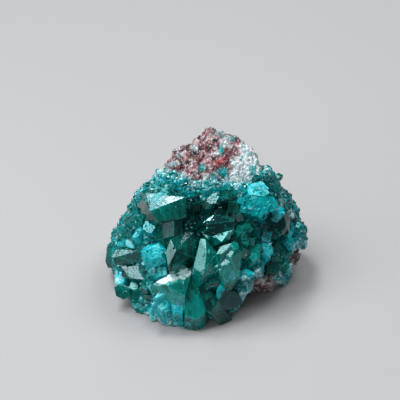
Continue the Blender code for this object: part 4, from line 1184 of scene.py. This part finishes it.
class Nodes:
    """Shorthand for building a material's nodes."""

    def __init__(self, name):
        self.material = bpy.data.materials.new(name)
        self.material.use_nodes = True
        self.tree = self.material.node_tree
        self.shader = self.tree.nodes["Principled BSDF"]
        self.output = self.tree.nodes["Material Output"]
        self.coords = self.new("ShaderNodeTexCoord").outputs["Object"]

    def feed(self, socket, value):
        """Joins an output to a socket, or gives the socket a number, a direction or a colour."""
        if isinstance(value, bpy.types.NodeSocket):
            self.tree.links.new(value, socket)
        else:
            socket.default_value = (*value, 1.0) if isinstance(value, tuple) else value

    def new(self, kind, **inputs):
        node = self.tree.nodes.new(kind)
        for name, value in inputs.items():
            self.feed(node.inputs[name.replace("_", " ")], value)
        return node

    def noise(self, scale, detail=4.0, rough=0.55, distortion=0.0, at=None):
        """Noise with this many waves a metre."""
        at = self.coords if at is None else at
        node = self.new("ShaderNodeTexNoise", Vector=at, Scale=scale, Detail=detail, Roughness=rough,
                        Distortion=distortion)
        return node.outputs["Fac"]

    def blotches(self, low, high, scale, *how):
        """Noise sharpened into spots: 0 below its low value and 1 above its high one."""
        return self.span(self.noise(scale, *how), low, high)

    def cells(self, scale, feature="F1", at=None):
        node = self.new("ShaderNodeTexVoronoi", Vector=self.coords if at is None else at, Scale=scale)
        node.feature = feature
        return node.outputs["Distance"]

    def value(self, name):
        node = self.new("ShaderNodeAttribute")
        node.attribute_name = name
        return node.outputs["Fac"]

    def math(self, operation, a, b=0.0, clamp=False):
        node = self.new("ShaderNodeMath")
        node.operation = operation
        node.use_clamp = clamp
        self.feed(node.inputs[0], a)
        self.feed(node.inputs[1], b)
        return node.outputs[0]

    def plus(self, a, b, clamp=False):
        return self.math("ADD", a, b, clamp)

    def minus(self, a, b):
        return self.math("SUBTRACT", a, b)

    def times(self, a, b, clamp=False):
        return self.math("MULTIPLY", a, b, clamp)

    def swing(self, factor, amount):
        """A noise's swing about its middle, this large."""
        return self.times(self.minus(factor, 0.5), amount)

    def vector(self, operation, a, b):
        node = self.new("ShaderNodeVectorMath")
        node.operation = operation
        self.feed(node.inputs[0], a)
        self.feed(node.inputs["Scale" if operation == "SCALE" else 1], b)
        return node.outputs["Value" if operation == "DOT_PRODUCT" else "Vector"]

    def ramp(self, factor, *stops):
        """Colours by factor: each stop is (place, colour)."""
        node = self.new("ShaderNodeValToRGB", Fac=factor)
        elements = node.color_ramp.elements
        while len(elements) < len(stops):
            elements.new(0.5)
        for element, (spot, colour) in zip(elements, stops):
            element.position = spot
            element.color = (*colour, 1.0)
        return node.outputs["Color"]

    def span(self, factor, low, high):
        """0 to 1 as the factor goes from low to high."""
        return self.new("ShaderNodeMapRange", Value=factor, From_Min=low, From_Max=high).outputs["Result"]

    def mix(self, factor, a, b):
        node = self.new("ShaderNodeMix")
        node.data_type = "RGBA"
        for socket, value in ((0, factor), (6, a), (7, b)):
            self.feed(node.inputs[socket], value)
        return node.outputs[2]

    def bump(self, height, strength, distance):
        node = self.new("ShaderNodeBump", Height=height, Strength=strength, Distance=distance)
        self.set("Normal", node.outputs["Normal"])

    def absorb(self, colour, density):
        volume = self.new("ShaderNodeVolumeAbsorption", Color=colour, Density=density)
        self.feed(self.output.inputs["Volume"], volume.outputs["Volume"])

    def along(self, direction):
        """Millimetres along a direction, from the foot of the front."""
        return self.minus(self.vector("DOT_PRODUCT", self.coords, direction / MM),
                          (FOOT + CENTRING).dot(direction))

    def patches(self, places):
        """How strongly a point lies in some patches of the front, their edges made ragged by noise."""
        ragged = self.swing(self.noise(520.0, 4.0, 0.6), PATCH_RAGGED)
        across, up = self.along(RIGHT), self.along(UP)
        most = None
        for patch_across, patch_up, radius in places:
            wide = self.math("POWER", self.minus(across, patch_across), 2.0)
            high = self.math("POWER", self.minus(up, patch_up), 2.0)
            near = self.math("DIVIDE", self.math("SQRT", self.plus(wide, high)), -radius)
            most = near if most is None else self.math("MAXIMUM", most, near)
        return self.span(self.plus(most, ragged), *PATCH_ENDS)

    def set(self, name, value):
        self.feed(self.shader.inputs[name], value)


def striae(n, scale):
    """Noise drawn out up the front, for the growth lines of the prisms."""
    along = n.vector("DOT_PRODUCT", n.coords, UP * STRIAE_STRETCH)
    flat = n.vector("ADD", n.coords, n.vector("SCALE", -UP, along))
    return n.noise(scale, 3.0, 0.6, 0.0, flat)


def fringe_share(n):
    """How much of the white coating along the outer edges covers a spot."""
    return n.times(n.patches(FRINGE_PATCHES), n.blotches(0.44, 0.56, 850.0, 6.0, 0.72, 0.8), clamp=True)


def frost_share(n, placed, stray):
    """How frosted a spot is: in the placed patches, and more faintly in stray spots."""
    frost = n.times(n.patches(FROST_PATCHES), n.blotches(*placed, 6.0, 0.7, 0.6))
    return n.math("MAXIMUM", frost, n.times(n.blotches(*stray, 7.0, 0.7, 1.2), STRAY_FROST))


def roughness(n, scale, detail, low, swing):
    """Roughness that rises from its lowest value with a noise."""
    return n.plus(n.times(n.noise(scale, detail), swing), low)


def veins(n, scale, width):
    """Thin ragged lines, like healed cracks: 1 on a line and 0 away from it."""
    drift = n.new("ShaderNodeTexNoise", Vector=n.coords, Scale=800.0, Detail=3.0).outputs["Color"]
    drifted = n.vector("ADD", n.coords, n.vector("SCALE", drift, VEIN_DRIFT))
    return n.span(n.cells(scale, "DISTANCE_TO_EDGE", drifted), width, 0.0)


def clear_material():
    """Deep green transparent dioptase with growth marks and frosting on its faces."""
    n = Nodes("clear_dioptase")
    lines = striae(n, 1500.0)
    tone = n.plus(n.value("shade"), n.swing(n.noise(420.0, 6.0, 0.65, 0.6), 0.9))
    tone = n.plus(tone, n.swing(lines, 0.5))
    # Painted shade: darker in the hollows and under the overhanging crystals
    tone = n.minus(tone, n.times(n.patches(HOLLOW_SHADE_PATCHES), 0.22))
    crack = n.times(veins(n, 380.0, 0.045), n.blotches(0.45, 0.62, 300.0))
    tone = n.plus(tone, n.times(crack, 0.35))
    body = n.ramp(tone, (0.02, (0.0, 0.06, 0.055)), (0.26, (0.0, 0.24, 0.20)), (0.48, (0.0, 0.44, 0.36)),
                  (0.72, (0.0, 0.68, 0.64)), (0.95, (0.14, 0.92, 0.95)))
    sugar = n.ramp(n.noise(1700.0, 5.0, 0.7), (0.34, (0.0, 0.14, 0.15)), (0.50, (0.02, 0.36, 0.40)),
                   (0.68, (0.30, 0.66, 0.72)))
    frost = frost_share(n, (0.42, 0.56, 700.0), (0.63, 0.70, 480.0))
    # Painted highlight: streaky white over the bright upward face in place of the light it throws back, which
    # also lets less light through
    streaks = n.plus(n.noise(700.0, 5.0, 0.65, 0.6), n.swing(lines, 0.4))
    painted_glint = n.times(n.patches(GLINT_PATCHES), n.span(streaks, 0.36, 0.46), clamp=True)
    n.set("Base Color", n.mix(painted_glint, n.mix(frost, body, sugar), (0.70, 0.94, 0.95)))
    covered = n.math("MAXIMUM", frost, n.times(painted_glint, 0.9))
    clearness = n.minus(CLEAREST, n.times(n.value("cloud"), CLOUD_DULLS))
    n.set("Transmission Weight", n.times(clearness, n.minus(1.0, covered), clamp=True))
    rough = roughness(n, 600.0, 4.0, -0.06, 0.20)
    n.set("Roughness", n.plus(rough, n.times(frost, FROST_ROUGH), clamp=True))
    n.set("IOR", DIOPTASE_IOR)
    n.set("Specular Tint", GLEAM)
    relief_height = n.plus(n.noise(500.0, 3.0, 0.5), n.times(lines, 0.8))
    n.bump(n.plus(relief_height, n.times(crack, 0.5)), strength=0.12, distance=0.00010)
    n.absorb((0.0, 0.84, 0.80), density=500.0)
    return n.material


def cloudy_material():
    """Milky cyan and teal dioptase, frosted in places."""
    n = Nodes("cloudy_dioptase")
    tone = n.plus(n.value("shade"), n.swing(n.noise(460.0, 6.0, 0.66, 0.8), 1.2))
    tone = n.plus(tone, n.swing(striae(n, 900.0), 0.5))
    # Painted shade: darker in the hollows and under the overhanging crystals
    tone = n.minus(tone, n.times(n.patches(HOLLOW_SHADE_PATCHES), 0.4))
    body = n.ramp(tone, (0.10, (0.0, 0.05, 0.055)), (0.38, (0.0, 0.24, 0.25)), (0.62, (0.0, 0.46, 0.50)),
                  (0.84, (0.0, 0.74, 0.86)), (1.0, (0.04, 0.92, 1.0)))
    sugar = n.ramp(n.noise(2100.0, 5.0, 0.7), (0.34, (0.0, 0.36, 0.40)), (0.55, (0.06, 0.66, 0.72)),
                   (0.70, (0.80, 0.96, 0.98)))
    frost = frost_share(n, (0.47, 0.56, 800.0), (0.61, 0.67, 560.0))
    fringe = fringe_share(n)
    n.set("Base Color", n.mix(fringe, n.mix(frost, body, sugar), FRINGE_COLOUR))
    covered = n.math("MAXIMUM", frost, fringe)
    n.set("Transmission Weight", n.times(n.minus(1.0, covered), 0.40, clamp=True))
    rough = roughness(n, 700.0, 4.0, -0.05, 0.24)
    n.set("Roughness", n.plus(rough, n.times(frost, FROST_ROUGH), clamp=True))
    n.set("IOR", CLOUDY_IOR)
    n.set("Specular Tint", GLEAM)
    n.bump(n.plus(n.noise(1100.0, 5.0, 0.65), n.cells(1200.0)), strength=0.32, distance=0.00018)
    n.absorb((0.0, 0.90, 0.92), density=350.0)
    return n.material


def crust_material():
    """The bed of fine intergrown crystals under the large ones."""
    n = Nodes("crust_bed")
    tone = n.plus(n.times(n.noise(200.0, 6.0, 0.65, 0.5), 0.8),
                  n.times(n.noise(1500.0, 4.0, 0.7), 0.4))
    # Painted shade: darker in the hollows and under the overhanging crystals
    tone = n.minus(tone, n.times(n.patches(HOLLOW_SHADE_PATCHES), 0.18))
    body = n.ramp(tone, (0.40, (0.0, 0.030, 0.032)), (0.54, (0.0, 0.12, 0.12)), (0.68, (0.0, 0.26, 0.27)),
                  (0.82, (0.01, 0.46, 0.50)), (0.93, (0.40, 0.74, 0.76)))
    n.set("Base Color", n.mix(fringe_share(n), body, FRINGE_COLOUR))
    n.set("Roughness", roughness(n, 900.0, 3.0, 0.1, 0.4))
    n.set("IOR", CLOUDY_IOR)
    n.bump(n.plus(n.cells(1800.0), n.noise(2200.0, 4.0)), strength=0.8, distance=0.0002)
    return n.material


def druse_material():
    """Small sparkling crystals from dark green to pale cyan."""
    n = Nodes("druse")
    tone = n.plus(n.value("shade"), n.swing(n.noise(900.0, 4.0, 0.6), 0.6))
    # Painted shade: darker in the hollows and under the overhanging crystals
    tone = n.minus(tone, n.times(n.patches(HOLLOW_SHADE_PATCHES), 0.30))
    body = n.ramp(tone, (0.05, (0.0, 0.05, 0.05)), (0.32, (0.0, 0.17, 0.16)), (0.56, (0.0, 0.34, 0.36)),
                  (0.76, (0.0, 0.53, 0.59)), (0.95, (0.66, 0.90, 0.92)))
    fringe = fringe_share(n)
    n.set("Base Color", n.mix(fringe, body, FRINGE_COLOUR))
    n.set("Transmission Weight", n.times(n.minus(1.0, fringe), 0.25))
    n.set("Roughness", roughness(n, 900.0, 3.0, 0.03, 0.22))
    n.set("IOR", DIOPTASE_IOR)
    n.set("Specular Tint", GLEAM)
    n.bump(n.noise(2600.0, 3.0), strength=0.3, distance=0.0001)
    return n.material


def rock_material():
    """Purplish-brown granular host rock with chalky and blue-green patches."""
    n = Nodes("host_rock")
    patchy = n.noise(330.0, 6.0, 0.7, 0.6)
    grains = n.noise(1300.0, 3.0, 0.7)
    tone = n.plus(n.times(patchy, 0.6), n.times(grains, 0.8))
    tone = n.plus(tone, n.swing(n.noise(110.0, 4.0, 0.55, 1.2), 0.8))
    brown = n.ramp(tone, (0.53, (0.035, 0.006, 0.009)), (0.65, (0.17, 0.040, 0.050)),
                   (0.74, (0.34, 0.13, 0.15)), (0.82, (0.66, 0.42, 0.45)), (0.92, (1.0, 0.92, 0.94)))
    rusty = n.blotches(0.52, 0.66, 130.0, 5.0, 0.6, 1.0)
    brown = n.mix(n.times(rusty, 0.6), brown, (0.17, 0.055, 0.024))
    seam = n.times(veins(n, 75.0, 0.035), n.blotches(0.46, 0.60, 160.0, 4.0))
    brown = n.mix(n.times(seam, 0.7), brown, (0.66, 0.52, 0.50))
    brown = n.mix(n.span(n.cells(800.0), 0.54, 0.76), brown, (0.016, 0.004, 0.007))
    brown = n.mix(n.times(n.value("low"), 0.5), brown, (0.060, 0.012, 0.016))
    red_share = n.times(n.value("red"), n.blotches(0.38, 0.52, 900.0, 5.0, 0.7), clamp=True)
    ruddy = n.mix(n.times(red_share, 0.85), brown, (0.50, 0.012, 0.030))
    chalk = n.ramp(n.noise(1500.0, 4.0, 0.7), (0.36, (0.20, 0.38, 0.42)), (0.48, (0.62, 0.80, 0.84)),
                   (0.58, (1.0, 1.0, 1.0)))
    white_share = n.times(n.value("pale"), n.blotches(0.30, 0.40, 700.0, 6.0, 0.75, 0.8), clamp=True)
    stray = n.times(n.blotches(0.535, 0.585, 640.0, 7.0, 0.80, 1.4), 0.9)
    with_white = n.mix(n.math("MAXIMUM", white_share, stray), ruddy, chalk)
    rim_share = n.times(n.value("rim"), n.blotches(0.44, 0.54, 560.0, 6.0, 0.72, 0.8), clamp=True)
    fringe = n.ramp(n.noise(1300.0, 4.0, 0.7), (0.36, (0.0, 0.26, 0.28)), (0.52, (0.16, 0.62, 0.66)),
                    (0.64, (0.90, 1.0, 1.0)))
    pinkish = n.ramp(n.noise(1100.0, 5.0, 0.7), (0.44, (0.08, 0.016, 0.020)), (0.53, (0.95, 0.86, 0.88)))
    with_rim = n.mix(rim_share, with_white, n.mix(n.times(n.value("low"), 0.8), fringe, pinkish))
    cyan_share = n.times(n.value("cyan"), n.blotches(0.36, 0.48, 800.0, 6.0, 0.75), clamp=True)
    cyan = n.ramp(grains, (0.35, (0.0, 0.24, 0.26)), (0.65, (0.0, 0.66, 0.68)))
    n.set("Base Color", n.mix(cyan_share, with_rim, cyan))
    n.set("Roughness", n.blotches(0.2, 1.0, 1800.0, 2.0))
    n.set("Specular IOR Level", 0.6)
    height = n.plus(n.noise(2000.0, 6.0, 0.75), n.times(n.cells(1500.0), 0.8))
    n.bump(height, strength=1.0, distance=0.0004)
    return n.material


def floor_material():
    n = Nodes("floor")
    n.set("Base Color", n.ramp(n.noise(3.0, 2.0), (0.3, (0.40, 0.40, 0.41)), (0.7, (0.43, 0.43, 0.44))))
    n.set("Roughness", 0.85)
    return n.material


# Camera, light and floor


def area_light(name, azimuth, elevation, distance, size, radiance, colour):
    """A softbox that faces the object, from a bearing round it, with its brightness per area."""
    light = bpy.data.lights.new(name, "AREA")
    light.shape = "RECTANGLE"
    light.size, light.size_y = size
    light.energy = radiance * math.pi * size[0] * size[1]
    light.color = colour
    obj = link(bpy.data.objects.new(name, light))
    toward = bearing(azimuth, elevation)
    obj.location = LIT_POINT + toward * distance
    obj.rotation_euler = (-toward).to_track_quat("-Z", "Y").to_euler()


def build_stage():
    bm = bmesh.new()
    bmesh.ops.create_grid(bm, x_segments=1, y_segments=1, size=3.0)
    floor = mesh_object("floor", bm)
    floor.data.materials.append(floor_material())

    world = bpy.data.worlds.new("studio")
    bpy.context.scene.world = world
    world.use_nodes = True
    background = world.node_tree.nodes["Background"]
    background.inputs["Color"].default_value = ROOM_LIGHT
    background.inputs["Strength"].default_value = ROOM_STRENGTH

    for name, light in LIGHTS.items():
        area_light(name, *light)


def build_camera():
    across = (PHOTO_SIDE / 2 - FOOT_PIXEL[0]) / PIXELS_PER_MM
    up = (FOOT_PIXEL[1] - PHOTO_SIDE / 2) / PIXELS_PER_MM
    target = (place(across, up, 0.0) + CENTRING) * MM
    camera = bpy.data.cameras.new("camera")
    camera.sensor_width = SENSOR_WIDTH
    camera.lens = SENSOR_WIDTH * CAMERA_DISTANCE / (PHOTO_SIDE / PIXELS_PER_MM * MM)
    obj = link(bpy.data.objects.new("camera", camera))
    obj.location = target + OUT * CAMERA_DISTANCE
    obj.rotation_euler = (-OUT).to_track_quat("-Z", "Y").to_euler()
    bpy.context.scene.camera = obj
    bpy.context.scene.view_settings.view_transform = "Standard"


def main():
    rock = build_rock()
    bed = build_bed()
    clear, cloudy = build_crystals()
    druses = build_druse(rock, bed, clear, cloudy)
    finish_piece(rock, rock_material(), "matrix")
    finish_piece(bed, crust_material(), "dioptase_crystals")
    finish_piece(clear, clear_material(), "dioptase_crystals")
    finish_piece(cloudy, cloudy_material(), "dioptase_crystals")
    small = druse_material()
    for druse in druses:
        finish_piece(druse, small, "dioptase_crystals")
    build_stage()
    build_camera()


main()
